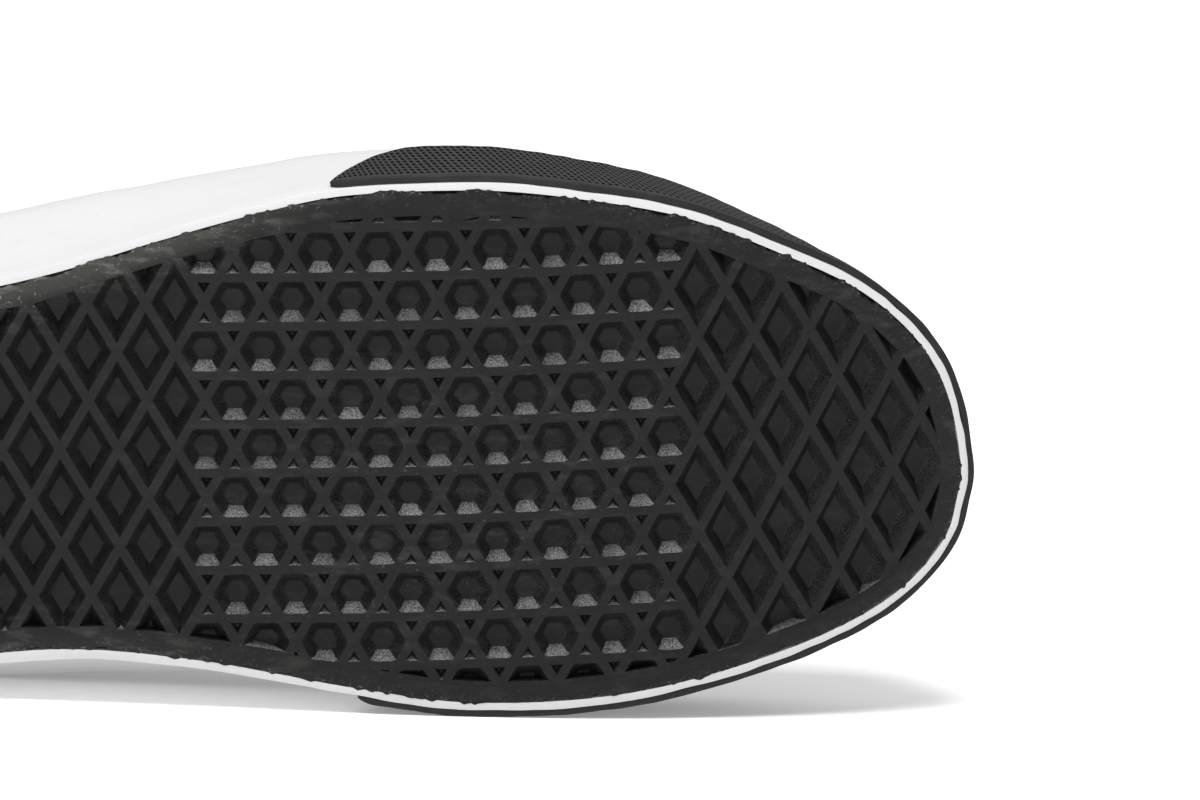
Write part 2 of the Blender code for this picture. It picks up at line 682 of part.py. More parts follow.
def upper(drill):
    p = places_round(COLUMNS)
    levels = np.concatenate([np.linspace(-1, 0, WALL_ROWS, endpoint=False), np.linspace(0, 1, CROWN_ROWS)])
    grid = np.stack([skin(p, np.full(p.shape, level)) for level in levels])
    obj = mesh_object("upper", grid_mesh("upper", grid, wrap=True))
    padding = obj.vertex_groups.new(name="padding")
    for row, level in enumerate(levels):
        for column, place in enumerate(p):
            along = edge_point(place)[0] / SOLE_LENGTH
            collar = np.clip((0.40 - along) / 0.08, 0, 1)
            high = np.clip((level - 0.35) / 0.4, 0, 1) * np.clip((1.12 - level) / 0.2, 0.45, 1)
            padding.add([row * COLUMNS + column], float(collar * high), "REPLACE")
    thicken(obj, -COLLAR_WALL, "padding", WALL / COLLAR_WALL)
    boolean(obj, drill, "DIFFERENCE")
    return keep(obj, "black_canvas")


def overlay(name, p, low, high, rows, gap=OVERLAY_GAP):
    """Suede laid over the upper between two heights b on each of the columns p."""
    share = np.linspace(0, 1, rows)[:, None]
    b = low[None, :] * (1 - share) + high[None, :] * share
    grid = skin(np.broadcast_to(p, b.shape), b, np.full(b.shape, gap))
    return sheet(name, grid, OVERLAY, "black_suede")


def snapped(place):
    """The nearest of the upper's own columns, so that a sheet's end lies along it."""
    columns = places_round(COLUMNS)
    return float(columns[np.argmin(np.abs(columns - place))])


ABOVE_TAPE = 0.06  # b just above the foxing tape


def toe_cap():
    start, end = snapped(edge_at(0.800, True)) - 1, snapped(edge_at(0.790, False))
    p = between(start, end, BAND_COLUMNS)
    middle = (start + end) / 2
    away = np.clip(np.abs(p - middle) / ((end - start) / 2), 0, 1)
    high = ABOVE_TAPE + 0.03 + 0.50 * (1 - away**2.2) ** 0.75
    return overlay("toe_cap", p, np.full(p.shape, ABOVE_TAPE), high, 9, CAP_GAP)


EYESTAY_WIDTH = 0.019
EYESTAY_MARGIN = 0.0012  # of the upper that shows inside it


def eyestay(drill):
    p = between(snapped(edge_at(0.455, True)) - 1, snapped(edge_at(0.455, False)), COLUMNS)
    front = np.clip(1 - np.abs(p) / 0.14, 0, 1)
    low = b_below_top(p, EYESTAY_WIDTH - 0.004 * front)
    high = b_below_top(p, EYESTAY_MARGIN)
    obj = overlay("eyestay", p, low, high, 4)
    boolean(obj, drill, "DIFFERENCE")
    return obj


def heel_counter():
    start, end = snapped(edge_at(0.27, False)), snapped(edge_at(0.27, True))
    p = between(start, end, COLUMNS)
    away = np.clip(np.abs(p - HEEL_P) / ((end - start) / 2), 0, 1)
    high = ABOVE_TAPE + 0.04 + 0.56 * (1 - away**2) ** 0.8
    return overlay("heel_counter", p, np.full(p.shape, ABOVE_TAPE), high, 6)


def heel_tab():
    reach = 0.011 / EDGE_LENGTH
    p = HEEL_P + np.linspace(-reach, reach, 7)
    low = np.full(p.shape, 0.72)
    return overlay("heel_tab", p, low, b_below_top(p, 0.0015), 4)


def insole():
    ring = offset_ring(COLUMNS, -(WALL + 0.0012))
    mesh = flat_plate("insole", ring, BOTTOM, BOTTOM + INSOLE_THICKNESS)
    sprung_plate(mesh, BOTTOM + INSOLE_THICKNESS)
    return keep(mesh_object("insole", mesh), "insole_fabric")


def tongue():
    """Follows the inside of the throat, lapping under both sides, and stands up beyond its top."""

    def row_at(along, lap):
        out = -(WALL + OVERLAY_GAP + TONGUE_CLEARANCE * max(0.56 - along, 0) / 0.09)
        lateral, medial = (
            skin(np.full(3, edge_at(along, side)), b_below_top(np.full(3, edge_at(along, side)), laps), out)
            for side, laps in ((False, lap * np.array([1, 0.5, 0])), (True, lap * np.array([0, 0.5, 1])))
        )
        middle = (lateral[-1] + medial[0]) / 2 + np.array([0, 0, TONGUE_RISE])
        return np.concatenate([lateral, middle[None], medial])

    stations = np.linspace(0.70, 0.475, 9)
    rows = [row_at(along, lap) for along, lap in zip(stations, np.linspace(TONGUE_LAP, 0.6 * TONGUE_LAP, 9))]
    way = rows[-1][3] - rows[-3][3]
    way /= np.linalg.norm(way)
    top = row_at(stations[-1], 0.3 * TONGUE_LAP)
    for share in (0.3, 0.65, 1.0):
        raised = top + way * TONGUE_LENGTH_ABOVE * share + np.array([0, 0, 0.004]) * share**2
        centre = raised[3]
        rows.append(centre + (raised - centre) * np.array([1, 0.88 - 0.16 * share, 1 - 0.4 * share]))
    grid = np.stack(rows)[:, ::-1]
    obj = mesh_object("tongue", grid_mesh("tongue", grid))
    thicken(obj, -TONGUE_THICKNESS)
    return keep(obj, "black_canvas")


def eyelets():
    for side, places in eyelet_places().items():
        for number, (p, b) in enumerate(places, 1):
            out = OVERLAY_GAP + OVERLAY + EYELET_LIFT
            ring = bmesh.new()
            section = ((EYELET_HOLE, 0), (EYELET_RIM, 0), (EYELET_RIM - 0.0006, EYELET_THICKNESS), (EYELET_HOLE, EYELET_THICKNESS))
            corners = [ring.verts.new((r, 0, z)) for r, z in section]
            loop = [ring.edges.new((corners[k], corners[(k + 1) % 4])) for k in range(4)]
            bmesh.ops.spin(
                ring, geom=corners + loop, cent=(0, 0, 0), axis=(0, 0, 1), angle=math.tau, steps=10, use_merge=True
            )
            bmesh.ops.remove_doubles(ring, verts=ring.verts, dist=1e-6)
            bmesh.ops.recalc_face_normals(ring, faces=ring.faces)
            name = f"eyelet_{side}_{number}"
            mesh = bpy.data.meshes.new(name)
            ring.to_mesh(mesh)
            ring.free()
            obj = keep(mesh_object(name, mesh), "eyelet_metal")
            obj.matrix_world = eyelet_frame(p, b, out)


def lace_bars():
    """Flat lace across each pair of eyelets."""
    places = eyelet_places()
    lift = OVERLAY_GAP + OVERLAY + EYELET_LIFT + EYELET_THICKNESS + LACE_LIFT
    for number, (lateral, medial) in enumerate(zip(places["lateral"], places["medial"]), 1):
        ends = [eyelet_frame(p, b, lift) for p, b in (lateral, medial)]
        start, end = ends[0].translation, ends[1].translation
        reach = (end - start).length * 0.38
        knots = [start, start - ends[0].col[1].xyz * reach, end - ends[1].col[1].xyz * reach, end]
        path = interpolate_bezier(knots[0], knots[1], knots[2], knots[3], 9)
        rows = []
        for k, centre in enumerate(path):
            run = path[min(k + 1, 8)] - path[max(k - 1, 0)]
            facing = ends[0].col[2].xyz.lerp(ends[1].col[2].xyz, k / 8)
            side = run.cross(facing).normalized() * LACE_WIDTH / 2
            rows.append([tuple(centre + side), tuple(centre), tuple(centre - side)])
        obj = mesh_object(f"lace_bar_{number}", grid_mesh(f"lace_bar_{number}", np.array(rows)))
        thicken(obj, LACE_THICKNESS)
        keep(obj, "white_lace")


# Lying pose


def solid_points(obj):
    """Corners and triangles of a finished piece, in its parent's space."""
    mesh = evaluated(obj, "measure")
    mesh.transform(obj.matrix_world)
    mesh.calc_loop_triangles()
    corners = np.array([v.co for v in mesh.vertices], float)
    triangles = np.array([t.vertices for t in mesh.loop_triangles])
    bpy.data.meshes.remove(mesh)
    return corners, triangles


def balance_point(solids):
    """Centre of mass."""
    mass, moment = 0.0, np.zeros(3)
    for (corners, triangles), density in solids:
        a, b, c = (corners[triangles[:, k]] for k in range(3))
        volumes = np.einsum("ij,ij->i", a, np.cross(b, c)) / 6
        mass += density * volumes.sum()
        moment += density * (volumes[:, None] * (a + b + c) / 4).sum(0)
    return moment / mass


def lie_down():
    """Turns the shoe onto the face of its hull, on the medial side, that carries its weight."""
    solids = [
        (solid_points(obj), DENSITY.get(obj.data.materials[0].name, CLOTH_DENSITY)) for obj in PARTS
    ]
    centre = balance_point(solids)
    corners = np.vstack([points for (points, _), _ in solids])
    hull = bmesh.new()
    for point in corners:
        hull.verts.new(point)
    found = bmesh.ops.convex_hull(hull, input=hull.verts)
    faces = [f for f in found["geom"] if isinstance(f, bmesh.types.BMFace)]
    down = Vector((0, 1, -0.1)).normalized()
    for _ in range(40):
        best = None
        for face in faces:
            normal = face.normal if (face.verts[0].co - Vector(centre)).dot(face.normal) > 0 else -face.normal
            facing = normal.dot(down)
            if facing > 1e-6:
                reach = (face.verts[0].co - Vector(centre)).dot(normal) / facing
                if best is None or reach < best[0]:
                    best = (reach, normal.copy())
        if (best[1] - down).length < 1e-7:
            break
        down = best[1]
    hull.free()
    toe = Vector((1, 0, 0))
    x = (toe - down * toe.dot(down)).normalized()
    z = -down
    turn = Matrix((x, z.cross(x), z)).to_4x4()
    laid = corners @ np.array(turn.to_3x3()).T
    low, high = laid.min(0), laid.max(0)
    shift = Matrix.Translation((-(low[0] + high[0]) / 2, -(low[1] + high[1]) / 2, -low[2]))
    pose = bpy.data.objects.new("lying_pose", None)
    shoe.objects.link(pose)
    pose.matrix_world = shift @ turn
    bpy.context.view_layer.update()
    for obj in PARTS:
        obj.parent = pose
    return shift @ turn


for old in list(bpy.data.objects):
    bpy.data.objects.remove(old)
shoe = bpy.data.collections.new("skate_shoe")
cutters = bpy.data.collections.new("cutters")
bpy.context.scene.collection.children.link(shoe)
bpy.context.scene.collection.children.link(cutters)

outsole()
foxing_tape()
toe_bumper()
heel_patch()
eyelet_drill = eyelet_cutter()
upper(eyelet_drill)
toe_cap()
eyestay(eyelet_drill)
heel_counter()
heel_tab()
insole()
tongue()
eyelets()
lace_bars()
lie_down()
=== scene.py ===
import json
import math
import random

import bmesh
import bpy
import numpy as np
from mathutils import Matrix, Vector
from mathutils.geometry import delaunay_2d_cdt, interpolate_bezier


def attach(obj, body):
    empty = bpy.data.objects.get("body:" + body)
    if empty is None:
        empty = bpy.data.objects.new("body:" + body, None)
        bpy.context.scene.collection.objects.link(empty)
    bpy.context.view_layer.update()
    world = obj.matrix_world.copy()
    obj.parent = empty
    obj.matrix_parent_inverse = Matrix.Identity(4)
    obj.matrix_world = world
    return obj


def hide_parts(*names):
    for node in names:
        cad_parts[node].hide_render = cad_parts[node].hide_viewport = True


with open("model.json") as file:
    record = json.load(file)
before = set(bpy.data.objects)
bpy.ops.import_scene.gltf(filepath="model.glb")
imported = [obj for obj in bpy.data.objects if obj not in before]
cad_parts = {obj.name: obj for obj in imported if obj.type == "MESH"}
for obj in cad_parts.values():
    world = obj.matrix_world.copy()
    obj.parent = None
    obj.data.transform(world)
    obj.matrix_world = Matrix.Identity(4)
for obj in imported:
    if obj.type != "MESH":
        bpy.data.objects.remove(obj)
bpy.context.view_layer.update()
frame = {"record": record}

# The shoe's own frame, in which every shape below is written: X to the toe, Y to the medial side,
# Z up from the ground.
# The tread's mount is a point on the ground plane near the heel, and its axis points out of the tread.
heelInset = 0.0026  # from the heel's end to that mount
mount = next(m for m in frame["record"]["mounts"] if m["name"] == "tread_plane")
shoeUp = -Vector(mount["axis"]).normalized()
shoeToe = Vector((shoeUp.z, 0, -shoeUp.x)).normalized()
shoeToe = -shoeToe if shoeToe.x < 0 else shoeToe
shoeSide = shoeUp.cross(shoeToe)
shoe = Matrix((shoeToe, shoeSide, shoeUp)).transposed().to_4x4()
shoe.translation = Vector(mount["pos_m"]) - shoeToe * heelInset

sole = {
    "length": 0.2921,  # along the tread
    "ballWidth": 0.1064,
    "flat": 0.1618,  # length that lies flat, from the heel
    "springRadius": 0.336,
    "thickness": 0.0062,
    "seat": 0.00045,  # from its top to the upper's lower edge
}
last = {
    "wallHeight": 0.028,
    "instepHeight": 0.083,
    "bulge": 0.0050,
    "wall": 0.0024,
    "collarWall": 0.0075,
    "clearance": 0.0003,  # between the upper and the tape
}
bottom = sole["thickness"] + sole["seat"]  # lower edge of the upper

# Outline of the outsole: share of the sole's length from the heel, share of the ball width from the axis.
lateralEdge = (
    (1.000, 0.012), (0.990, -0.123), (0.966, -0.238), (0.924, -0.343), (0.866, -0.429), (0.801, -0.508),
    (0.728, -0.555), (0.658, -0.579), (0.570, -0.575), (0.505, -0.539), (0.434, -0.485), (0.364, -0.426),
    (0.291, -0.387), (0.188, -0.374), (0.110, -0.343), (0.050, -0.268), (0.012, -0.145), (0.000, 0.000),
)
medialEdge = (
    (0.012, 0.145), (0.050, 0.268), (0.110, 0.337), (0.188, 0.350), (0.291, 0.319), (0.378, 0.305),
    (0.466, 0.330), (0.567, 0.384), (0.655, 0.420), (0.761, 0.414), (0.865, 0.356), (0.942, 0.276),
    (0.985, 0.175), (0.998, 0.080),
)
# Lean of the side wall: share of length, lateral and medial lean as shares of the wall's height.
lean = (
    (1.00, -0.05, -0.05), (0.80, -0.03, -0.03), (0.68, 0.00, 0.02), (0.58, 0.01, 0.08),
    (0.52, 0.04, 0.18), (0.44, 0.12, 0.31), (0.37, 0.21, 0.36), (0.30, 0.22, 0.34),
    (0.20, 0.14, 0.22), (0.10, 0.05, 0.10), (0.00, 0.05, 0.05),
)
# Ribs of the upper: foot, then its top (along, half-width, height), then rise, drop and reach of the curve between.
ribs = (
    (1.000, 0.690, 0.000, 0.640, 0.19, 0.12, 0.42),
    (0.985, 0.689, 0.035, 0.642, 0.19, 0.12, 0.42),
    (0.950, 0.683, 0.070, 0.650, 0.19, 0.11, 0.44),
    (0.880, 0.664, 0.096, 0.676, 0.19, 0.10, 0.46),
    (0.800, 0.635, 0.110, 0.716, 0.19, 0.09, 0.48),
    (0.710, 0.594, 0.122, 0.775, 0.19, 0.09, 0.48),
    (0.630, 0.548, 0.132, 0.842, 0.18, 0.11, 0.45),
    (0.550, 0.499, 0.146, 0.914, 0.17, 0.14, 0.42),
    (0.470, 0.448, 0.162, 0.985, 0.16, 0.18, 0.36),
    (0.420, 0.414, 0.192, 0.965, 0.15, 0.22, 0.28),
    (0.360, 0.368, 0.243, 0.858, 0.14, 0.18, 0.22),
    (0.280, 0.290, 0.283, 0.768, 0.14, 0.14, 0.18),
    (0.180, 0.188, 0.283, 0.768, 0.14, 0.16, 0.14),
    (0.090, 0.098, 0.235, 0.850, 0.15, 0.20, 0.12),
    (0.030, 0.040, 0.125, 0.935, 0.17, 0.22, 0.10),
    (0.000, 0.024, 0.000, 0.960, 0.18, 0.22, 0.10),
)
topCentre = ((0.0, 0.0), (0.40, 0.0), (0.70, -0.030), (1.0, -0.030))


def smoothThrough(knots, values, at):
    # cubic through the values that never overshoots between two knots
    x, y = np.asarray(knots, float), np.asarray(values, float)
    step = np.diff(x)
    slope = np.diff(y) / step
    tangent = np.zeros_like(y)
    sameWay = slope[1:] * slope[:-1] > 0
    w1, w2 = 2 * step[1:] + step[:-1], step[1:] + 2 * step[:-1]
    with np.errstate(divide="ignore", invalid="ignore"):
        mean = (w1 + w2) / (w1 / slope[:-1] + w2 / slope[1:])
    tangent[1:-1] = np.where(sameWay, mean, 0.0)
    tangent[0], tangent[-1] = slope[0], slope[-1]
    at = np.asarray(at, float)
    k = np.clip(np.searchsorted(x, at, side="right") - 1, 0, len(x) - 2)
    t = (at - x[k]) / step[k]
    ends = y[k] * (1 + 2 * t) * (1 - t) ** 2 + y[k + 1] * t**2 * (3 - 2 * t)
    return ends + step[k] * t * (1 - t) * (tangent[k] * (1 - t) - tangent[k + 1] * t)


def closedSpline(points, perSpan):
    ring = np.asarray(points, float)
    before, after, beyond = np.roll(ring, 1, 0), np.roll(ring, -1, 0), np.roll(ring, -2, 0)
    t = np.linspace(0, 1, perSpan, endpoint=False)[:, None, None]
    curve = 0.5 * (
        2 * ring
        + (after - before) * t
        + (2 * before - 5 * ring + 4 * after - beyond) * t**2
        + (3 * ring - before - 3 * after + beyond) * t**3
    )
    return curve.transpose(1, 0, 2).reshape(-1, 2)


# The outline is followed by p: 0 at the toe tip, along the lateral side, past the heel, back to 1 at the toe tip.
edge = closedSpline([(a * sole["length"], b * sole["ballWidth"]) for a, b in lateralEdge + medialEdge], 24)
edgeSteps = np.linalg.norm(np.roll(edge, -1, 0) - edge, axis=1)
edgeLength = edgeSteps.sum()
edgeP = np.concatenate([[0], np.cumsum(edgeSteps)]) / edgeLength
edgeRing = np.vstack([edge, edge[:1]])
heelP = edgeP[np.argmin(edgeRing[:, 0])]


def edgePoint(p):
    p = np.mod(p, 1.0)
    return np.stack([np.interp(p, edgeP, edgeRing[:, k]) for k in (0, 1)], -1)


def edgeNormal(p):
    reach = 0.004
    ahead = edgePoint(np.asarray(p) + reach) - edgePoint(np.asarray(p) - reach)
    normal = np.stack([-ahead[..., 1], ahead[..., 0]], -1)
    return normal / np.linalg.norm(normal, axis=-1, keepdims=True)


def edgeAt(along, medial):
    half = edgeP >= heelP if medial else edgeP <= heelP
    stations, places = edgeRing[half, 0] / sole["length"], edgeP[half]
    order = np.argsort(stations)
    return float(np.interp(along, stations[order], places[order]))


def placesRound(count):
    samples = np.linspace(0, 1, 721)
    nearToe = np.minimum(samples, 1 - samples)
    weight = 1 + 0.9 * np.exp(-((nearToe / 0.10) ** 2)) + 0.9 * np.exp(-(((samples - heelP) / 0.09) ** 2))
    run = np.concatenate([[0], np.cumsum((weight[1:] + weight[:-1]) / 2)])
    return np.interp(np.arange(count) / count, run / run[-1], samples)


def sprung(points):
    # bends flat-laid points up along the toe spring
    flat = np.asarray(points, float)
    turn = np.maximum(flat[..., 0] - sole["flat"], 0) / sole["springRadius"]
    along = np.where(turn > 0, sole["flat"] + sole["springRadius"] * np.sin(turn), flat[..., 0])
    up = sole["springRadius"] * (1 - np.cos(turn))
    height = flat[..., 2]
    return np.stack([along - height * np.sin(turn), flat[..., 1], up + height * np.cos(turn)], -1)


def sidePlaces(table):
    places = [edgeAt(row[0], False) for row in table] + [edgeAt(row[0], True) for row in table[-2:0:-1]]
    places[0], places[len(table) - 1] = 0.0, heelP
    return np.array(places)


leanP = sidePlaces(lean)
leanOut = np.array([row[1] for row in lean] + [row[2] for row in lean[-2:0:-1]])
ribP = sidePlaces(ribs)
ribSide = np.array([-1.0] * len(ribs) + [1.0] * (len(ribs) - 2))
ribRows = np.array(ribs + ribs[-2:0:-1])


def roundTable(places, values, p):
    places = np.concatenate([places[-3:] - 1, places, places[:3] + 1])
    values = np.concatenate([values[-3:], values, values[:3]])
    return smoothThrough(places, values, np.mod(p, 1.0))


def wallPoint(p, height, out=0.0):
    share = np.clip((height - bottom) / (last["wallHeight"] - bottom), 0, 1)
    leaning = last["wallHeight"] * roundTable(leanP, leanOut, p) * np.sin(share * math.pi / 2)
    flat = edgePoint(p) + edgeNormal(p) * (leaning + out)[..., None]
    return np.concatenate([flat, np.broadcast_to(height, flat.shape[:-1])[..., None]], -1)


def crownPoint(p, b):
    used = {"along": 1, "height": 3, "rise": 4, "drop": 5, "reach": 6}
    column = {name: roundTable(ribP, ribRows[:, k], p) for name, k in used.items()}
    side = roundTable(ribP, ribSide * ribRows[:, 2], p)
    centre = np.interp(column["along"], *zip(*topCentre)) * sole["ballWidth"]
    topAlong, topSide = column["along"] * sole["length"], side * sole["ballWidth"] + centre
    top = np.stack([topAlong, topSide, column["height"] * last["instepHeight"]], -1)
    foot = wallPoint(p, np.full(p.shape, last["wallHeight"]), np.full(p.shape, -last["clearance"]))
    up = np.zeros_like(top)
    up[..., 2] = last["instepHeight"]
    away = foot - top
    away[..., 2] = 0
    outward = np.concatenate([edgeNormal(p), np.zeros((*p.shape, 1))], -1)
    first = foot + up * column["rise"][..., None] + outward * last["bulge"]
    second = top + away * column["reach"][..., None] - up * column["drop"][..., None]
    b = b[..., None]
    return foot * (1 - b) ** 3 + 3 * first * b * (1 - b) ** 2 + 3 * second * b**2 * (1 - b) + top * b**3


def skinFlat(p, b):
    height = bottom + (last["wallHeight"] - bottom) * (1 + np.minimum(b, 0))
    low = wallPoint(p, height, np.full(p.shape, -last["clearance"]))
    return np.where((b < 0)[..., None], low, crownPoint(p, np.maximum(b, 0)))


def skin(p, b, out=0.0):
    # outer surface of the upper; b is -1 at its lower edge, 0 at the tape's top and 1 at the throat or collar
    step = 0.002
    p, b = np.broadcast_arrays(np.asarray(p, float), np.asarray(b, float))
    here = sprung(skinFlat(p, b))
    roundWay = sprung(skinFlat(p + step, b)) - sprung(skinFlat(p - step, b))
    upWay = sprung(skinFlat(p, np.minimum(b + step, 1))) - sprung(skinFlat(p, np.maximum(b - step, -1)))
    normal = np.cross(upWay, roundWay)
    normal /= np.linalg.norm(normal, axis=-1, keepdims=True)
    return here + normal * np.asarray(out)[..., None]


def runOf(points):
    # distance along a line of points, from its first one
    return np.concatenate([[0], np.cumsum(np.linalg.norm(np.diff(points, axis=0), axis=1))])


def bBelowTop(p, distance):
    samples = np.linspace(0, 1, 60)
    found = []
    for place, wanted in zip(np.atleast_1d(p), np.broadcast_to(distance, np.atleast_1d(p).shape)):
        rib = skin(np.full(60, place), samples)[::-1]
        found.append(1 - np.interp(wanted, runOf(rib), samples))
    return np.array(found)


def fromToe(start, end, count):
    return np.linspace(edgeAt(start, True) - 1, edgeAt(end, False), count)


# Mesh helpers


def newObject(name, mesh, node=None):
    mesh.transform(shoe)
    obj = bpy.data.objects.new(name, mesh)
    bpy.context.scene.collection.objects.link(obj)
    if node:
        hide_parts(*(node if isinstance(node, (list, tuple)) else [node]))
    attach(obj, "root")
    return obj


def gridMesh(name, grid, wrap=False, uv=None):
    rows, columns = grid.shape[:2]
    index = np.arange(rows * columns).reshape(rows, columns)
    lastColumn = columns if wrap else columns - 1
    faces = []
    for r in range(rows - 1):
        for c in range(lastColumn):
            beside = (c + 1) % columns
            faces.append([int(k) for k in (index[r, c], index[r + 1, c], index[r + 1, beside], index[r, beside])])
    mesh = bpy.data.meshes.new(name)
    mesh.from_pydata(grid.reshape(-1, 3).tolist(), [], faces)
    if uv is not None:
        layer = mesh.attributes.new("lay", "FLOAT_VECTOR", "POINT")
        flat = np.zeros((rows * columns, 3))
        flat[:, :2] = uv.reshape(-1, 2)
        layer.data.foreach_set("vector", flat.ravel())
    mesh.shade_smooth()
    return mesh


def layOf(grid):
    # distances in metres along the rows and the columns of a grid
    alongSteps, upSteps = (np.linalg.norm(np.diff(grid, axis=axis), axis=-1) for axis in (1, 0))
    along = np.concatenate([np.zeros((grid.shape[0], 1)), alongSteps.cumsum(1)], 1)
    up = np.concatenate([np.zeros((1, grid.shape[1])), upSteps.cumsum(0)], 0)
    return np.stack([along.mean(0)[None, :].repeat(grid.shape[0], 0), up], -1)


def mend(mesh, merge=0.0, fill=False):
    # merges points, closes open ends and turns every face outward
    body = bmesh.new()
    body.from_mesh(mesh)
    if merge:
        bmesh.ops.remove_doubles(body, verts=body.verts, dist=merge)
    if fill:
        bmesh.ops.holes_fill(body, edges=[e for e in body.edges if e.is_boundary])
    bmesh.ops.recalc_face_normals(body, faces=body.faces)
    body.to_mesh(mesh)
    body.free()


def shade(mesh, sharpFrom):
    mesh.shade_smooth()
    mesh.set_sharp_from_angle(angle=math.radians(sharpFrom))


def thicken(obj, thickness, bevel=0.0003, inner=0):
    solid = obj.modifiers.new("wall", "SOLIDIFY")
    solid.thickness = abs(thickness)
    solid.offset = 1.0 if thickness > 0 else -1.0
    solid.use_even_offset = True
    solid.material_offset = inner
    if bevel:
        edges = obj.modifiers.new("edge", "BEVEL")
        edges.width = bevel
        edges.segments = 2
        edges.limit_method = "ANGLE"
        edges.angle_limit = math.radians(50)
    return solid


def paint(obj, *materials):
    for made in materials:
        obj.data.materials.append(made)
    return obj


# Shader groups


def newGroup(name, inputs, output):
    group = bpy.data.node_groups.new(name, "ShaderNodeTree")
    for label, value in inputs.items():
        socket = group.interface.new_socket(label, in_out="INPUT", socket_type="NodeSocketFloat")
        socket.default_value = value
    group.interface.new_socket(output, in_out="OUTPUT", socket_type="NodeSocketFloat")
    return group, group.nodes.new("NodeGroupInput"), group.nodes.new("NodeGroupOutput")


def mathNode(tree, operation, a, b=None, c=None, clamp=False):
    node = tree.nodes.new("ShaderNodeMath")
    node.operation = operation
    node.use_clamp = clamp
    for k, value in enumerate((a, b, c)):
        if value is None:
            continue
        if isinstance(value, (int, float)):
            node.inputs[k].default_value = value
        else:
            tree.links.new(value, node.inputs[k])
    return node.outputs[0]


def noiseNode(tree, vector, scale, detail=3.0, rough=0.55):
    node = tree.nodes.new("ShaderNodeTexNoise")
    node.inputs["Scale"].default_value = scale
    node.inputs["Detail"].default_value = detail
    node.inputs["Roughness"].default_value = rough
    tree.links.new(vector, node.inputs["Vector"])
    return node.outputs["Fac"]


def remap(tree, value, low, high, toLow=0.0, toHigh=1.0):
    node = tree.nodes.new("ShaderNodeMapRange")
    node.clamp = True
    node.interpolation_type = "SMOOTHSTEP"
    tree.links.new(value, node.inputs["Value"])
    for label, number in (("From Min", low), ("From Max", high), ("To Min", toLow), ("To Max", toHigh)):
        node.inputs[label].default_value = number
    return node.outputs["Result"]


def mixColour(tree, factor, a, b):
    node = tree.nodes.new("ShaderNodeMix")
    node.data_type = "RGBA"
    for socket, value in ((node.inputs["Factor"], factor), (node.inputs["A"], a), (node.inputs["B"], b)):
        if isinstance(value, (tuple, float, int)):
            socket.default_value = (*value, 1) if isinstance(value, tuple) else value
        else:
            tree.links.new(value, socket)
    return node.outputs["Result"]


def dustGroup():
    # specks and smears of pale dust, stronger inside a mask
    group, inside, out = newGroup("dust", {"Mask": 1.0, "Scale": 1.0, "Amount": 0.5}, "Dust")
    place = group.nodes.new("ShaderNodeTexCoord").outputs["Object"]
    spread = group.nodes.new("ShaderNodeVectorMath")
    spread.operation = "SCALE"
    group.links.new(place, spread.inputs[0])
    group.links.new(inside.outputs["Scale"], spread.inputs["Scale"])
    drawn = group.nodes.new("ShaderNodeVectorMath")
    drawn.operation = "MULTIPLY"
    drawn.inputs[1].default_value = (0.3, 1.0, 1.0)
    group.links.new(spread.outputs[0], drawn.inputs[0])
    smear = remap(group, noiseNode(group, drawn.outputs[0], 420, 6, 0.7), 0.48, 0.70)
    speck = remap(group, noiseNode(group, spread.outputs[0], 1300, 2, 0.5), 0.64, 0.74)
    both = mathNode(group, "MAXIMUM", mathNode(group, "MULTIPLY", smear, 0.6), speck)
    strength = mathNode(group, "MULTIPLY", inside.outputs["Mask"], inside.outputs["Amount"])
    group.links.new(mathNode(group, "MULTIPLY", both, strength, clamp=True), out.inputs["Dust"])
    return group


def grainGroup():
    # fine uneven height for rubber, suede and cloth
    group, inside, out = newGroup("grain", {"Scale": 1500.0, "Rough": 0.6}, "Height")
    place = group.nodes.new("ShaderNodeTexCoord").outputs["Object"]
    noise = group.nodes.new("ShaderNodeTexNoise")
    noise.inputs["Detail"].default_value = 4
    group.links.new(place, noise.inputs["Vector"])
    group.links.new(inside.outputs["Scale"], noise.inputs["Scale"])
    group.links.new(inside.outputs["Rough"], noise.inputs["Roughness"])
    group.links.new(noise.outputs["Fac"], out.inputs["Height"])
    return group


def weaveGroup():
    # over-and-under threads, laid along a piece's own run
    group, inside, out = newGroup("weave", {"Thread": 0.0009, "Turn": 0.0}, "Height")
    lay = group.nodes.new("ShaderNodeAttribute")
    lay.attribute_name = "lay"
    turned = group.nodes.new("ShaderNodeVectorRotate")
    turned.rotation_type = "Z_AXIS"
    group.links.new(lay.outputs["Vector"], turned.inputs["Vector"])
    group.links.new(inside.outputs["Turn"], turned.inputs["Angle"])
    parts = group.nodes.new("ShaderNodeSeparateXYZ")
    group.links.new(turned.outputs[0], parts.inputs[0])
    waves = []
    for axis in ("X", "Y"):
        turns = mathNode(group, "DIVIDE", parts.outputs[axis], inside.outputs["Thread"])
        waves.append(mathNode(group, "SINE", mathNode(group, "MULTIPLY", turns, math.pi)))
    cross = mathNode(group, "MULTIPLY", waves[0], waves[1])
    group.links.new(mathNode(group, "MULTIPLY_ADD", cross, 0.5, 0.5), out.inputs["Height"])
    return group


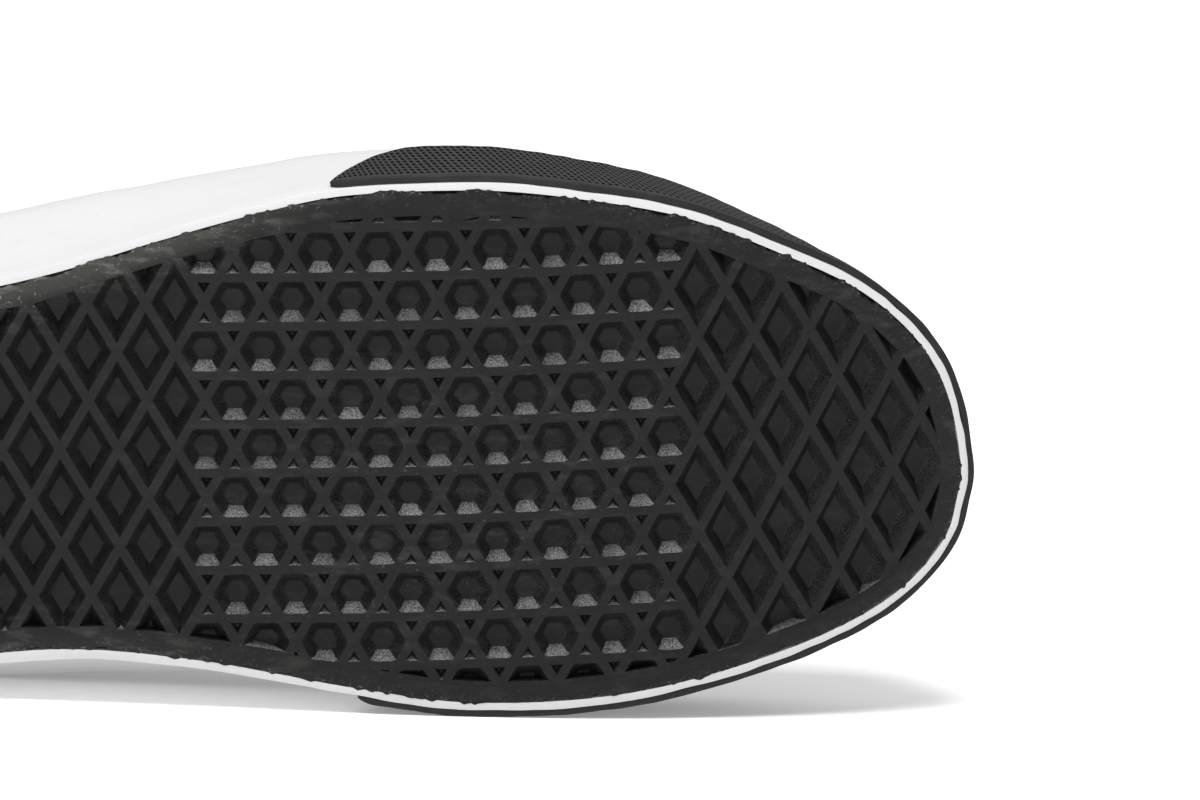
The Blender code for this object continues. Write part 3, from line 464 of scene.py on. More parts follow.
def ribGroup():
    # leaning ribs with short bars between them, over a smooth border at the lower edge
    sizes = {"Pitch": 0.0014, "Row": 0.0021, "Slant": -0.2, "Border": 0.0018}
    group, inside, out = newGroup("ribs", sizes, "Height")
    lay = group.nodes.new("ShaderNodeAttribute")
    lay.attribute_name = "lay"
    parts = group.nodes.new("ShaderNodeSeparateXYZ")
    group.links.new(lay.outputs["Vector"], parts.inputs[0])
    leaning = mathNode(group, "MULTIPLY_ADD", parts.outputs["Y"], inside.outputs["Slant"], parts.outputs["X"])
    waves = []
    for value, pitch in ((leaning, "Pitch"), (parts.outputs["Y"], "Row")):
        turns = mathNode(group, "DIVIDE", value, inside.outputs[pitch])
        wave = mathNode(group, "COSINE", mathNode(group, "MULTIPLY", turns, math.tau))
        waves.append(mathNode(group, "MULTIPLY_ADD", wave, 0.5, 0.5))
    knit = mathNode(group, "MAXIMUM", waves[0], mathNode(group, "MULTIPLY", waves[1], 0.75))
    above = mathNode(group, "GREATER_THAN", parts.outputs["Y"], inside.outputs["Border"])
    plain = mathNode(group, "MULTIPLY", mathNode(group, "SUBTRACT", 1.0, above), 0.66)
    group.links.new(mathNode(group, "MULTIPLY_ADD", knit, above, plain), out.inputs["Height"])
    return group


groups = {"dust": dustGroup(), "grain": grainGroup(), "weave": weaveGroup(), "ribs": ribGroup()}


def useGroup(tree, name, **values):
    node = tree.nodes.new("ShaderNodeGroup")
    node.node_tree = groups[name]
    for label, value in values.items():
        if isinstance(value, (int, float)):
            node.inputs[label].default_value = value
        else:
            tree.links.new(value, node.inputs[label])
    return node


def attributeOf(tree, name):
    node = tree.nodes.new("ShaderNodeAttribute")
    node.attribute_name = name
    return node.outputs["Fac"]


def newMaterial(name, colour, roughness, specular=0.5):
    made = bpy.data.materials.new(name)
    made.use_nodes = True
    shader = made.node_tree.nodes["Principled BSDF"]
    shader.inputs["Base Color"].default_value = (*colour, 1)
    shader.inputs["Roughness"].default_value = roughness
    shader.inputs["Specular IOR Level"].default_value = specular
    return made, made.node_tree, shader


def bumpFrom(tree, shader, height, distance, strength=1.0):
    bump = tree.nodes.new("ShaderNodeBump")
    bump.inputs["Strength"].default_value = strength
    bump.inputs["Distance"].default_value = distance
    tree.links.new(height, bump.inputs["Height"])
    tree.links.new(bump.outputs["Normal"], shader.inputs["Normal"])
    return bump


treadRubber = {
    "colour": (0.0035, 0.0034, 0.0039),
    "raised": (0.0050, 0.0047, 0.0054),  # lighter colour on the ridges and rim than down the cells' walls and floors
    "paintedLitWall": (0.17, 0.165, 0.175),  # painted highlight: pale colour on the cell walls that face the lateral side, which face up to the overhead light
    "dustColour": (0.165, 0.17, 0.145),
    "roughness": 0.42,
}


def outsoleMaterial():
    look = treadRubber
    made, tree, shader = newMaterial("treadRubber", look["colour"], look["roughness"], 0.32)
    place = tree.nodes.new("ShaderNodeTexCoord").outputs["Object"]
    raised, rimmed = attributeOf(tree, "raised"), attributeOf(tree, "rimmed")
    base = mixColour(tree, raised, look["colour"], look["raised"])
    # painted highlight in a pale grain on one wall of each whole cell, the wall that faces the lateral side and so
    # faces up to the light
    fine = remap(tree, noiseNode(tree, place, 3000, 2, 0.8), 0.36, 0.66)
    broad = remap(tree, noiseNode(tree, place, 45, 2), 0.32, 0.66, 0.4, 1.0)
    paintedLitWall = mathNode(tree, "MULTIPLY", attributeOf(tree, "paintedLitWall"), attributeOf(tree, "whole"))
    paintedWallLight = mathNode(tree, "MULTIPLY", paintedLitWall, mathNode(tree, "MULTIPLY", fine, broad))
    base = mixColour(tree, paintedWallLight, base, look["paintedLitWall"])
    # dust, a thin film of it, and light crumbs where the rubber was trimmed against the tape
    dusty = mathNode(tree, "MULTIPLY_ADD", rimmed, 0.95, 0.05)
    dust = useGroup(tree, "dust", Mask=dusty, Scale=1.0, Amount=1.0)
    film = remap(tree, rimmed, 0.1, 1.0, 0.0, 0.20)
    crumb = remap(tree, noiseNode(tree, place, 1500, 2, 0.6), 0.57, 0.68, 0.0, 0.8)
    crumbs = mathNode(tree, "MULTIPLY", attributeOf(tree, "trimmed"), crumb)
    shown = mathNode(tree, "ADD", dust.outputs["Dust"], film, clamp=True)
    shown = mathNode(tree, "ADD", shown, crumbs, clamp=True)
    tree.links.new(mixColour(tree, shown, base, look["dustColour"]), shader.inputs["Base Color"])
    # the walls of the cells keep their moulded shine, while the ridges and floors are dull
    wall = mathNode(tree, "MULTIPLY", remap(tree, raised, 0.02, 0.10), remap(tree, raised, 0.97, 0.6))
    dull = remap(tree, noiseNode(tree, place, 220, 3), 0.3, 0.7, 0.38, 0.48)
    tree.links.new(mathNode(tree, "MULTIPLY_ADD", wall, -0.03, dull), shader.inputs["Roughness"])
    sparkle = remap(tree, noiseNode(tree, place, 4200, 2, 0.6), 0.36, 0.64, -0.16, 0.30)
    tree.links.new(mathNode(tree, "MULTIPLY_ADD", wall, sparkle, 0.21), shader.inputs["Specular IOR Level"])
    grain = useGroup(tree, "grain", Scale=2600.0, Rough=0.65)
    bumpFrom(tree, shader, grain.outputs["Height"], 0.00014, 0.8)
    return made


tread = {
    "pitch": 0.0117,
    "origin": (0.1430, -0.0394),
    "depth": 0.0028,
    "ridge": 0.0017,  # width of the land between two cells
    "draft": 0.0021,  # how far a wall leans in over the depth
    "corner": 0.955,  # where a hexagon's corners are cut off, as a share of their reach
    "rim": 0.0043,  # width of the smooth band round the cells
    "rimDraft": 0.12,  # a wall along the rim leans in by this share of the others
    "ballRim": 0.0007,  # more than that beside the ball, on the lateral side
    "step": 0.00016,  # from the rim down to the land between the cells
    "hexZone": (0.1360, 0.2319),  # where the cells have six sides, from the heel
    "smallDepth": 0.0012,  # of the small triangles
    "smallest": 0.00022,  # a cell with a smaller inner radius is left out
    "round": 0.00032,  # of a cell's edge
    "trim": 0.00024,  # unevenness of the trimmed outer edge
    "dustReach": 0.0048,  # from the outer edge inward
    "trimReach": 0.0007,
    "columns": 1200,
}


def halfPlanePolygon(planes, inset):
    # corners of the convex area n.x <= d - inset; a side's share of the inset is its last value
    polygon = [(-1.0, -1.0), (1.0, -1.0), (1.0, 1.0), (-1.0, 1.0)]
    for nx, ny, d, share in planes:
        limit, kept = d - inset * share, []
        for (ax, ay), (bx, by) in zip(polygon, polygon[1:] + polygon[:1]):
            fa, fb = nx * ax + ny * ay - limit, nx * bx + ny * by - limit
            if fa <= 0:
                kept.append((ax, ay))
            if fa * fb < 0:
                t = fa / (fa - fb)
                kept.append((ax + (bx - ax) * t, ay + (by - ay) * t))
        polygon = kept
        if len(polygon) < 3:
            return []
    return polygon


def cellPlanes(kind, centre):
    pitch, cx, cy = tread["pitch"], *centre
    if kind == "hexagon":
        angles, reach = [30, 90, 150, 210, 270, 330], pitch * math.sqrt(3) / 4
    elif kind == "diamond":
        angles, reach = [30, 150, 210, 330], pitch / 2 * math.cos(math.pi / 6)
    else:  # small triangles between the hexagons, with their flat side towards one of them
        angles, reach = ([30, 150, 270] if kind == "medial" else [90, 210, 330]), pitch / 4 / math.sqrt(3)
    reach -= tread["ridge"] / 2
    sides = [(angle, reach) for angle in angles]
    if kind == "hexagon":
        sides += [(angle, reach / math.cos(math.pi / 6) * tread["corner"]) for angle in range(0, 360, 60)]
    planes = []
    for angle, distance in sides:
        nx, ny = math.cos(math.radians(angle)), math.sin(math.radians(angle))
        planes.append((nx, ny, nx * cx + ny * cy + distance, 1.0))
    return planes


def rimWidth(p):
    along, side = edgePoint(p).T
    return tread["rim"] + tread["ballRim"] * np.exp(-(((along - 0.185) / 0.045) ** 2)) * (side < 0)


def treadCells():
    # (kind, planes) of each cell that lies inside the rim, cut off along it
    pitch, rowStep = tread["pitch"], tread["pitch"] * math.sqrt(3) / 2
    aside = rowStep * 2 / 3  # from a six-sided cell to the small triangles beside it
    p = np.linspace(0, 1, 240, endpoint=False)
    normals = edgeNormal(p)
    rim = edgePoint(p) - normals * rimWidth(p)[:, None]
    shapes = []
    for row in range(-6, 12):
        for column in range(-18, 16):
            x = tread["origin"][0] + (column + (row % 2) / 2) * pitch
            y = tread["origin"][1] + row * rowStep
            if tread["hexZone"][0] < x < tread["hexZone"][1]:
                shapes += [("hexagon", (x, y)), ("medial", (x, y + aside)), ("lateral", (x, y - aside))]
            else:
                shapes.append(("diamond", (x, y)))
    cells = []
    for kind, centre in shapes:
        far = np.hypot(*(rim - centre).T)
        nearest, closest = int(np.argmin(far)), far.min()
        near = []
        if closest < pitch * 1.1:
            near = list(np.where(far < max(pitch * 0.9, closest + 0.001))[0][::3])
        outside = (np.array(centre) - rim[nearest]) @ normals[nearest]
        if closest > 0.05 or outside > pitch * 0.5 or (not near and not insideRing(rim, centre)):
            continue
        planes = cellPlanes(kind, centre)
        for k in [nearest, *near]:
            nx, ny = normals[k]
            if far[k] < pitch * 1.3:
                planes.append((nx, ny, nx * rim[k, 0] + ny * rim[k, 1], tread["rimDraft"]))
        cells.append((kind, planes))
    return cells


def insideRing(ring, point):
    ahead = np.roll(ring, -1, 0)
    crosses = (ring[:, 1] > point[1]) != (ahead[:, 1] > point[1])
    with np.errstate(divide="ignore", invalid="ignore"):
        at = ring[:, 0] + (point[1] - ring[:, 1]) * (ahead[:, 0] - ring[:, 0]) / (ahead[:, 1] - ring[:, 1])
    return int((crosses & (at > point[0])).sum()) % 2 == 1


def inradius(planes):
    low, high = 0.0, 0.01
    for _ in range(14):
        middle = (low + high) / 2
        if halfPlanePolygon(planes, middle):
            low = middle
        else:
            high = middle
    return low


def follow(corners, target):
    # for each corner, the nearest corner of a smaller polygon
    if not target:
        return None
    spots = np.array(target)
    return [int(np.argmin(np.hypot(*(spots - c).T))) for c in np.array(corners)]


def wavy(count, size, reach):
    # smooth random unevenness round a ring
    noise = np.array([random.uniform(-1, 1) for _ in range(count)])
    for _ in range(reach):
        noise = (noise + np.roll(noise, 1) + np.roll(noise, -1)) / 3
    return noise * size * math.sqrt(3 * reach)


def wallSteps(kind, size):
    # (inset, height, raised) down a cell's wall, from its rounded edge to its floor
    depth, draft = tread["depth"], tread["draft"]
    if kind in ("medial", "lateral"):
        depth, draft = tread["smallDepth"], size * 0.8
    most = size * 0.96
    if most < draft:
        depth, draft = depth * most / draft, most
    land, rounding = tread["step"], tread["round"]
    return [
        (-0.35 * rounding, land + 0.14 * rounding, 0.95),
        (0.2 * rounding, 0.75 * rounding, 0.7),
        (draft * 0.45, depth * 0.48, 0.35),
        (draft * 0.9, depth * 0.92, 0.1),
        (min(draft * 1.02, size * 0.97), depth * 0.985, 0.03),
        (min(draft * 1.16, size * 0.98), depth, 0.0),
    ]


def treadMarks(points, spans):
    # shares for the material: how near the rim, how near the trimmed edge, and 1 in a whole cell
    rimmed, trimmed, whole = np.zeros((3, len(points)))
    for first, after, complete in spans:
        whole[first:after] = complete
    outerEdge = edgePoint(np.linspace(0, 1, 360, endpoint=False))
    for k, (x, y, _) in enumerate(points):
        gap = np.hypot(outerEdge[:, 0] - x, outerEdge[:, 1] - y).min()
        rimmed[k] = math.exp(-((gap / tread["dustReach"]) ** 2))
        trimmed[k] = math.exp(-((gap / tread["trimReach"]) ** 2))
    # the back of the lateral side is the dustiest, and the ball has a little
    x, y, _ = np.array(points).T
    rimmed *= np.clip((0.175 - x) / 0.05, 0.16, 1.0) * np.where(y < 0, 1.0, 0.35)
    ball = np.exp(-(((x - 0.185) / 0.045) ** 2) - (((y - 0.004) / 0.035) ** 2))
    return {"rimmed": np.maximum(rimmed, 0.16 * ball), "trimmed": trimmed, "whole": whole}


def makeOutsole():
    cells = treadCells()
    points, faces, raised = [], [], []  # flat-laid; raised is 1 on the ground plane and 0 on a floor

    def addRing(corners, height, value):
        start = len(points)
        points.extend((x, y, height) for x, y in corners)
        raised.extend([value] * len(corners))
        return list(range(start, len(points)))

    holes, spans = [], []
    sizes = [inradius(planes) for _, planes in cells]
    widest = {kind: max(size for size, cell in zip(sizes, cells) if cell[0] == kind) for kind, _ in cells}
    for (kind, planes), size in zip(cells, sizes):
        mouth = halfPlanePolygon(planes, -tread["round"])
        if len(mouth) < 3 or size < tread["smallest"]:
            continue
        holes.append(mouth)
        first = len(points)
        ringBefore, cornersBefore = addRing(mouth, tread["step"], 1.0), mouth
        for inset, height, value in wallSteps(kind, size):
            corners = halfPlanePolygon(planes, inset)
            where = follow(cornersBefore, corners)
            if where is None:
                break
            ring = addRing(corners, height, value)
            count = len(cornersBefore)
            for k in range(count):
                a, b = ringBefore[k], ringBefore[(k + 1) % count]
                c, d = ring[where[(k + 1) % count]], ring[where[k]]
                faces.append((a, b, c, d) if c != d else (a, b, c))
            ringBefore, cornersBefore = ring, corners
        faces.append(tuple(ringBefore))
        spans.append((first, len(points), size > 0.93 * widest[kind]))
    # land between the cells
    p = placesRound(tread["columns"])
    inner = rimWidth(p) - tread["round"] - 0.00008
    landRing = edgePoint(p) - edgeNormal(p) * inner[:, None]
    flatPoints = [Vector(c) for c in landRing[::-1].tolist()]
    loops = [list(range(len(landRing)))]
    for hole in holes:
        loops.append(list(range(len(flatPoints), len(flatPoints) + len(hole))))
        flatPoints += [Vector(c) for c in hole]
    spots, _, triangles, _, _, origins = delaunay_2d_cdt(flatPoints, [], loops, 0, 1e-7)
    start = len(points)
    points.extend((s.x, s.y, tread["step"]) for s in spots)
    raised.extend([1.0] * len(spots))
    for triangle, origin in zip(triangles, origins):
        if list(origin) == [0]:
            faces.append(tuple(start + k for k in triangle))
    # rim, the ragged lip over the tape, side and top: outward, height, share of the raggedness
    rough = np.array([random.uniform(-1, 1) for _ in p])
    slow = wavy(len(p), 1.0, 10)
    rough = (rough + np.roll(rough, 1) + slow) * tread["trim"]
    profile = [(-inner, tread["step"], 0), (0.00022 - inner, 0.0, 0), (-0.0030, 0.0, 0), (-0.0010, 0.0, 0)]
    profile += [(-0.0002, 0.0, 1), (0.0, 0.00008, 1), (-0.0005, 0.0004, 0), (-0.0002, 0.0012, 0)]
    profile += [(out, sole["thickness"], 0) for out in (0.0, -0.004, -0.018)]
    rings = []
    for k, (out, height, ragged) in enumerate(profile):
        flat = edgePoint(p) + edgeNormal(p) * np.atleast_1d(out + rough * ragged)[:, None]
        rings.append(addRing([tuple(x) for x in flat], height, 1.0 if k < 7 else 0.3))
    for ring, beyond in zip(rings, rings[1:]):
        for k in range(len(p)):
            after = (k + 1) % len(p)
            faces.append((ring[k], ring[after], beyond[after], beyond[k]))
    mesh = bpy.data.meshes.new("outsoleTread")
    mesh.from_pydata(sprung(np.array(points)).tolist(), [], faces)
    for name, values in {"raised": raised, **treadMarks(points, spans)}.items():
        layer = mesh.attributes.new(name, "FLOAT", "POINT")
        layer.data.foreach_set("value", np.asarray(values, float))
    mend(mesh, 1e-6)
    # the walls that face the lateral side, which face up and get the painted highlight
    normals = np.zeros(len(mesh.polygons) * 3)
    mesh.polygons.foreach_get("normal", normals)
    nx, ny, nz = normals.reshape(-1, 3).T
    paintedLitWall = mesh.attributes.new("paintedLitWall", "FLOAT", "FACE")
    paintedLitWall.data.foreach_set("value", ((ny < -0.62) & (np.hypot(nx, nz) > 0.3)).astype(float))
    shade(mesh, 38)
    return paint(newObject("outsoleTread", mesh, "outsole"), outsoleMaterial())


print("tread")
random.seed(7)
makeOutsole()


def bandObject(name, p, section, wrap, node, material):
    # a closed section, given as (height, outward) corners, carried along the places p
    rows = [[np.broadcast_to(value, p.shape) for value in corner] for corner in section + section[:1]]
    grid = np.stack([sprung(wallPoint(p, height, out)) for height, out in rows])
    lay = layOf(grid)
    lay[..., 1] = np.stack([height for height, _ in rows])
    mesh = gridMesh(name, grid, wrap, lay)
    mend(mesh, 0.0 if wrap else 1e-7, not wrap)
    shade(mesh, 50)
    return paint(newObject(name, mesh, node), material)


tape = {
    "thickness": 0.0015,
    "gap": 0.00018,  # from the outsole's edge
    "clearance": 0.0003,  # kept between glued bands
    "height": 0.028,
    "toeHeight": 0.0255,
    "lift": 0.00012,  # of its lower edge over the ground plane
    "colour": (0.60, 0.60, 0.605),
    "soiled": (0.45, 0.44, 0.41),
    "waist": 0.0007,  # how much wider its lower edge is at the medial waist
    "wave": 0.00010,  # unevenness of its cut edges
}
tapeFace = tape["clearance"] + tape["thickness"]


def tapeMaterial():
    made, tree, shader = newMaterial("whiteRubber", tape["colour"], 0.6, 0.15)
    dust = useGroup(tree, "dust", Mask=1.0, Scale=0.6, Amount=0.25)
    colour = mixColour(tree, dust.outputs["Dust"], tape["colour"], tape["soiled"])
    tree.links.new(colour, shader.inputs["Base Color"])
    grain = useGroup(tree, "grain", Scale=900.0, Rough=0.5)
    bumpFrom(tree, shader, grain.outputs["Height"], 0.00008, 0.5)
    return made


def tapeTop(p):
    along = edgePoint(p)[..., 0] / sole["length"]
    return tape["toeHeight"] + (tape["height"] - tape["toeHeight"]) * np.clip((0.95 - along) / 0.35, 0, 1)


def makeTape():
    columns = 560
    p = placesRound(columns)
    top = tapeTop(p) + wavy(columns, tape["wave"], 6)
    along, side = edgePoint(p).T
    atWaist = np.clip((0.150 - along) / 0.05, 0, 1) * np.clip((along - 0.02) / 0.04, 0, 1) * (side > 0)
    outer = tapeFace + wavy(columns, tape["wave"], 3) + tape["waist"] * atWaist
    inner = tape["gap"]
    low = wavy(columns, tape["wave"] * 0.6, 3) + tape["lift"]
    section = [(low, inner), (low, outer - 0.0003), (low + 0.00012, outer - 0.0001), (low + 0.0004, outer)]
    section += [(bottom + (top - bottom) * k / 5, outer) for k in range(5)]
    section += [(top - 0.0004, outer), (top - 0.0001, outer - 0.0001), (top, outer - 0.0004), (top, inner)]
    section += [(bottom + (top - bottom) * 0.5, inner), (bottom, inner)]
    return bandObject("foxingTape", p, section, True, "foxing_tape", tapeMaterial())


bumper = {
    "thickness": 0.00125,
    "seat": 0.00012,  # from the tape to its inner face
    "lift": 0.0005,  # of its lower edge
    "height": 0.0240,
    "lateralEnd": 0.163,  # from the heel
    "medialEnd": 0.1675,
    "sweep": 0.020,  # length over which an end rises to full height
    "tip": 0.0032,  # reach of the rounding at its ends
    "colour": (0.0180, 0.0174, 0.0194),
    # painted shade: darker colour for the hollows between the ribs
    "paintedRibShade": (0.001, 0.001, 0.001),
    "dusty": (0.12, 0.12, 0.11),
    "ribPitch": 0.00138,
    "ribRow": 0.0021,
}


def bumperMaterial():
    made, tree, shader = newMaterial("ribbedRubber", bumper["colour"], 0.62, 0.22)
    ribs = useGroup(tree, "ribs", Pitch=bumper["ribPitch"], Row=bumper["ribRow"], Slant=-0.2, Border=0.0022)
    # painted shade: the hollows between the ribs take the darker colour, the crests the plain one
    paintedRibShading = mixColour(tree, ribs.outputs["Height"], bumper["paintedRibShade"], bumper["colour"])
    dust = useGroup(tree, "dust", Mask=1.0, Scale=1.0, Amount=0.15)
    tree.links.new(mixColour(tree, dust.outputs["Dust"], paintedRibShading, bumper["dusty"]), shader.inputs["Base Color"])
    tree.links.new(remap(tree, ribs.outputs["Height"], 0.3, 0.9, 0.0, 0.40), shader.inputs["Specular IOR Level"])
    grain = useGroup(tree, "grain", Scale=2400.0, Rough=0.6)
    height = mathNode(tree, "MULTIPLY_ADD", grain.outputs["Height"], 0.2, ribs.outputs["Height"])
    bumpFrom(tree, shader, height, 0.0006, 1.0)
    return made


def makeBumper():
    columns = 420
    first = edgeAt(bumper["lateralEnd"] / sole["length"], False)
    final = edgeAt(bumper["medialEnd"] / sole["length"], True) - 1
    run = (first - final) * edgeLength
    share = np.linspace(0, 1, columns)
    distance = run * ((0.5 - 0.5 * np.cos(share * math.pi)) * 0.35 + share * 0.65)  # denser at the ends
    p = final + distance / edgeLength
    fromEnd = np.minimum(distance, run - distance)
    sweep = np.sin(np.clip(fromEnd / bumper["sweep"], 0, 1) * math.pi / 2) ** 0.9
    blunt = np.sqrt(1 - (1 - np.clip(fromEnd / bumper["tip"], 0.03, 1)) ** 2)
    low = bumper["lift"] + 0.0022 * (1 - blunt)
    top = low + 0.0004 + 0.0016 * blunt + (bumper["height"] - bumper["lift"] - 0.0020) * sweep
    inner = tapeFace + bumper["seat"]
    outer = tapeFace + tape["clearance"] + bumper["thickness"] * (0.35 + 0.65 * blunt) + wavy(columns, 0.00006, 4)
    section = [(low, inner), (low, outer - 0.0004), (low + 0.00015, outer - 0.0001), (low + 0.0005, outer)]
    section += [(low + (top - low) * k / 6, outer) for k in range(1, 6)]
    section += [(top - 0.0005, outer), (top - 0.00015, outer - 0.00012), (top, outer - 0.0005), (top, inner)]
    section += [(low + (top - low) * 0.5, inner)]
    return bandObject("toeBumper", p, section, False, "toe_bumper", bumperMaterial())


print("bands")
makeTape()
makeBumper()


# Cloth, suede and lace

canvas = {
    "colour": (0.017, 0.017, 0.019),
    "lining": (0.045, 0.045, 0.05),
    "footbed": (0.055, 0.055, 0.06),
    "thread": 0.00075,
    "liningThread": 0.0006,
    "footbedThread": 0.0007,
}
suede = {
    "colour": (0.021, 0.0205, 0.022),
    "nap": (0.036, 0.035, 0.037),
    "thickness": 0.0013,
    "gap": 0.0006,  # between the solids of the upper and an overlay
}
overlayLift = suede["gap"] * 0.5  # from the canvas to an overlay's inner face
suedeFace = overlayLift + suede["thickness"]
stitch = {
    "colour": (0.72, 0.72, 0.70),
    "length": 0.0021,
    "gap": 0.0011,
    "radius": 0.00032,
    "inset": 0.0019,  # from the edge of the suede
}


def canvasMaterial(name, colour, thread):
    made, tree, shader = newMaterial(name, colour, 0.92, 0.2)
    weave = useGroup(tree, "weave", Thread=thread, Turn=0.0)
    # painted light and shade: the weave's crests take a lighter copy of the colour, the hollows between the threads
    # the plain one
    light = tuple(c * 1.9 for c in colour)
    tree.links.new(mixColour(tree, weave.outputs["Height"], colour, light), shader.inputs["Base Color"])
    shader.inputs["Sheen Weight"].default_value = 0.15
    bumpFrom(tree, shader, weave.outputs["Height"], 0.00018, 0.8)
    return made


def suedeMaterial():
    made, tree, shader = newMaterial("blackSuede", suede["colour"], 0.95, 0.15)
    place = tree.nodes.new("ShaderNodeTexCoord").outputs["Object"]
    patches = remap(tree, noiseNode(tree, place, 45, 3, 0.5), 0.35, 0.65)
    tree.links.new(mixColour(tree, patches, suede["colour"], suede["nap"]), shader.inputs["Base Color"])
    shader.inputs["Sheen Weight"].default_value = 0.35
    shader.inputs["Sheen Roughness"].default_value = 0.6
    grain = useGroup(tree, "grain", Scale=2200.0, Rough=0.75)
    bumpFrom(tree, shader, grain.outputs["Height"], 0.0003, 0.7)
    return made


looks = {
    "canvas": canvasMaterial("blackCanvas", canvas["colour"], canvas["thread"]),
    "lining": canvasMaterial("lining", canvas["lining"], canvas["liningThread"]),
    "suede": suedeMaterial(),
    "thread": newMaterial("thread", stitch["colour"], 0.7, 0.3)[0],
    "footbed": canvasMaterial("footbed", canvas["footbed"], canvas["footbedThread"]),
}

# Soft creases across the vamp and at the heel: place round the outline, height, reach each way, depth.
creases = (
    (-0.135, 0.42, 0.016, 0.10, -0.0010),
    (0.120, 0.46, 0.018, 0.09, -0.0009),
    (-0.165, 0.60, 0.014, 0.09, -0.0007),
    (0.152, 0.62, 0.015, 0.09, -0.0007),
    (0.300, 0.55, 0.030, 0.12, -0.0006),
    (-0.300, 0.50, 0.030, 0.12, -0.0006),
)


def creased(p, b):
    # outward distance of the soft troughs, each with a lower ridge beside it
    depth = np.zeros(np.broadcast(p, b).shape)
    centred = np.mod(np.asarray(p) + 0.5, 1.0) - 0.5
    for place, height, reachP, reachB, size in creases:
        for aside, share in ((0.0, 1.0), (1.7 * reachP, -0.6)):
            away = ((centred - place - aside) / reachP) ** 2 + ((b - height) / reachB) ** 2
            depth = depth + share * size * np.exp(-away)
    return depth * np.clip(np.asarray(b) * 6, 0, 1) * np.clip((1 - np.asarray(b)) * 6, 0, 1)


def skinGrid(p, b, out):
    p, b = np.broadcast_arrays(p, b)
    return skin(p, b, out + creased(p, b))


eyelet = {
    "pairs": 6,
    "inset": 0.0095,  # from the throat's edge
    "front": 0.86,  # share of the length at the foremost pair
    "back": 0.475,
    "hole": 0.0020,
    "rim": 0.0038,
    "thickness": 0.0008,
    "lift": 0.0007,
    "colour": (0.02, 0.02, 0.02),
}


def eyeletPlaces():
    places = {}
    for side, medial in (("lateral", False), ("medial", True)):
        tries = np.linspace(edgeAt(eyelet["front"], medial), edgeAt(eyelet["back"], medial), 80)
        top = skin(tries, np.ones(80))
        run = runOf(top)
        p = np.interp(np.linspace(0, run[-1], eyelet["pairs"]), run, tries)
        places[side] = list(zip(p, bBelowTop(p, eyelet["inset"])))
    return places


def eyeletFrame(p, b, out):
    step = 0.001
    here = skin(p, b, out)
    z = Vector((skin(p, b, out + 0.001) - here).tolist()).normalized()
    x = Vector((skin(p + step, bBelowTop(p + step, eyelet["inset"])[0], out) - here).tolist())
    x = (x - z * x.dot(z)).normalized()
    made = Matrix((x, z.cross(x), z)).transposed().to_4x4()
    made.translation = Vector(here.tolist())
    return made


eyelets = eyeletPlaces()


def makeDrill():
    drill = bmesh.new()
    for places in eyelets.values():
        for p, b in places:
            bmesh.ops.create_cone(
                drill, cap_ends=True, segments=24, radius1=eyelet["hole"], radius2=eyelet["hole"],
                depth=0.02, matrix=eyeletFrame(p, b, suede["thickness"]),
            )
    mesh = bpy.data.meshes.new("drill")
    drill.to_mesh(mesh)
    drill.free()
    mesh.transform(shoe)
    obj = bpy.data.objects.new("drill", mesh)
    bpy.context.scene.collection.objects.link(obj)
    obj.hide_render = True
    return obj


def cutWith(obj, cutter):
    cut = obj.modifiers.new("holes", "BOOLEAN")
    cut.operation = "DIFFERENCE"
    cut.solver = "EXACT"
    cut.object = cutter


def makeUpper(drill):
    columns, rows = 240, 56
    p = placesRound(columns)
    b = np.concatenate([np.linspace(-1, 0, 8, endpoint=False), np.linspace(0, 1, rows - 8)])
    grid = skinGrid(p[None, :], b[:, None], 0.0)
    obj = newObject("upperBody", gridMesh("upperBody", grid, True, layOf(grid)), "upper")
    padding = obj.vertex_groups.new(name="padding")
    along = edgePoint(p)[:, 0] / sole["length"]
    collar = np.clip((0.40 - along) / 0.08, 0, 1)
    for row, level in enumerate(b):
        high = np.clip((level - 0.35) / 0.4, 0, 1) * np.clip((1.12 - level) / 0.2, 0.45, 1)
        for column in range(columns):
            padding.add([row * columns + column], float(collar[column] * high), "REPLACE")
    paint(obj, looks["canvas"], looks["lining"])
    solid = thicken(obj, -last["collarWall"], 0.0006, 1)
    solid.vertex_group = "padding"
    solid.thickness_vertex_group = last["wall"] / last["collarWall"]
    cutWith(obj, drill)
    return obj


def makeOverlay(name, p, low, high, rows, node, drill=None):
    share = np.linspace(0, 1, rows)[:, None]
    b = low[None, :] * (1 - share) + high[None, :] * share
    grid = skinGrid(np.broadcast_to(p, b.shape), b, overlayLift)
    obj = newObject(name, gridMesh(name, grid, False, layOf(grid)), node)
    paint(obj, looks["suede"])
    thicken(obj, suede["thickness"], 0.0004)
    if drill:
        cutWith(obj, drill)
    return obj


seams = []  # rows of points in the shoe's frame, with their outward directions


def addSeam(p, b):
    base = skinGrid(p, b, suedeFace)
    seams.append((base, skinGrid(p, b, suedeFace + 0.001) - base))


def bInset(p, b, distance):
    # moves b down by a distance along the rib
    here, nearby = skin(p, b), skin(p, b - 0.02)
    return b - 0.02 * distance / np.linalg.norm(here - nearby, axis=-1)


overlay = {
    "foot": 0.06,  # lower edge, as a share of the way from the tape to the throat
    "capEnds": (0.800, 0.790),  # medial and lateral, shares of the length
    "capRise": (0.03, 0.50),  # over the foot: at its ends, and more in the middle
    "counterEnd": 0.27,
    "counterRise": (0.04, 0.56),
    "stayEnd": 0.455,
    "stayWidth": 0.019,
    "stayNarrower": 0.004,  # at the front of the throat
    "stayEdge": 0.0012,  # from the throat's edge
    "tabReach": 0.011,  # to each side of the heel's middle
    "tabFoot": 0.72,
    "tabEdge": 0.0015,
}


def doubleSeam(p, high):
    inner = slice(3, -3)
    for inset in (stitch["inset"], stitch["inset"] * 2.1):
        addSeam(p[inner], bInset(p[inner], high[inner], inset))


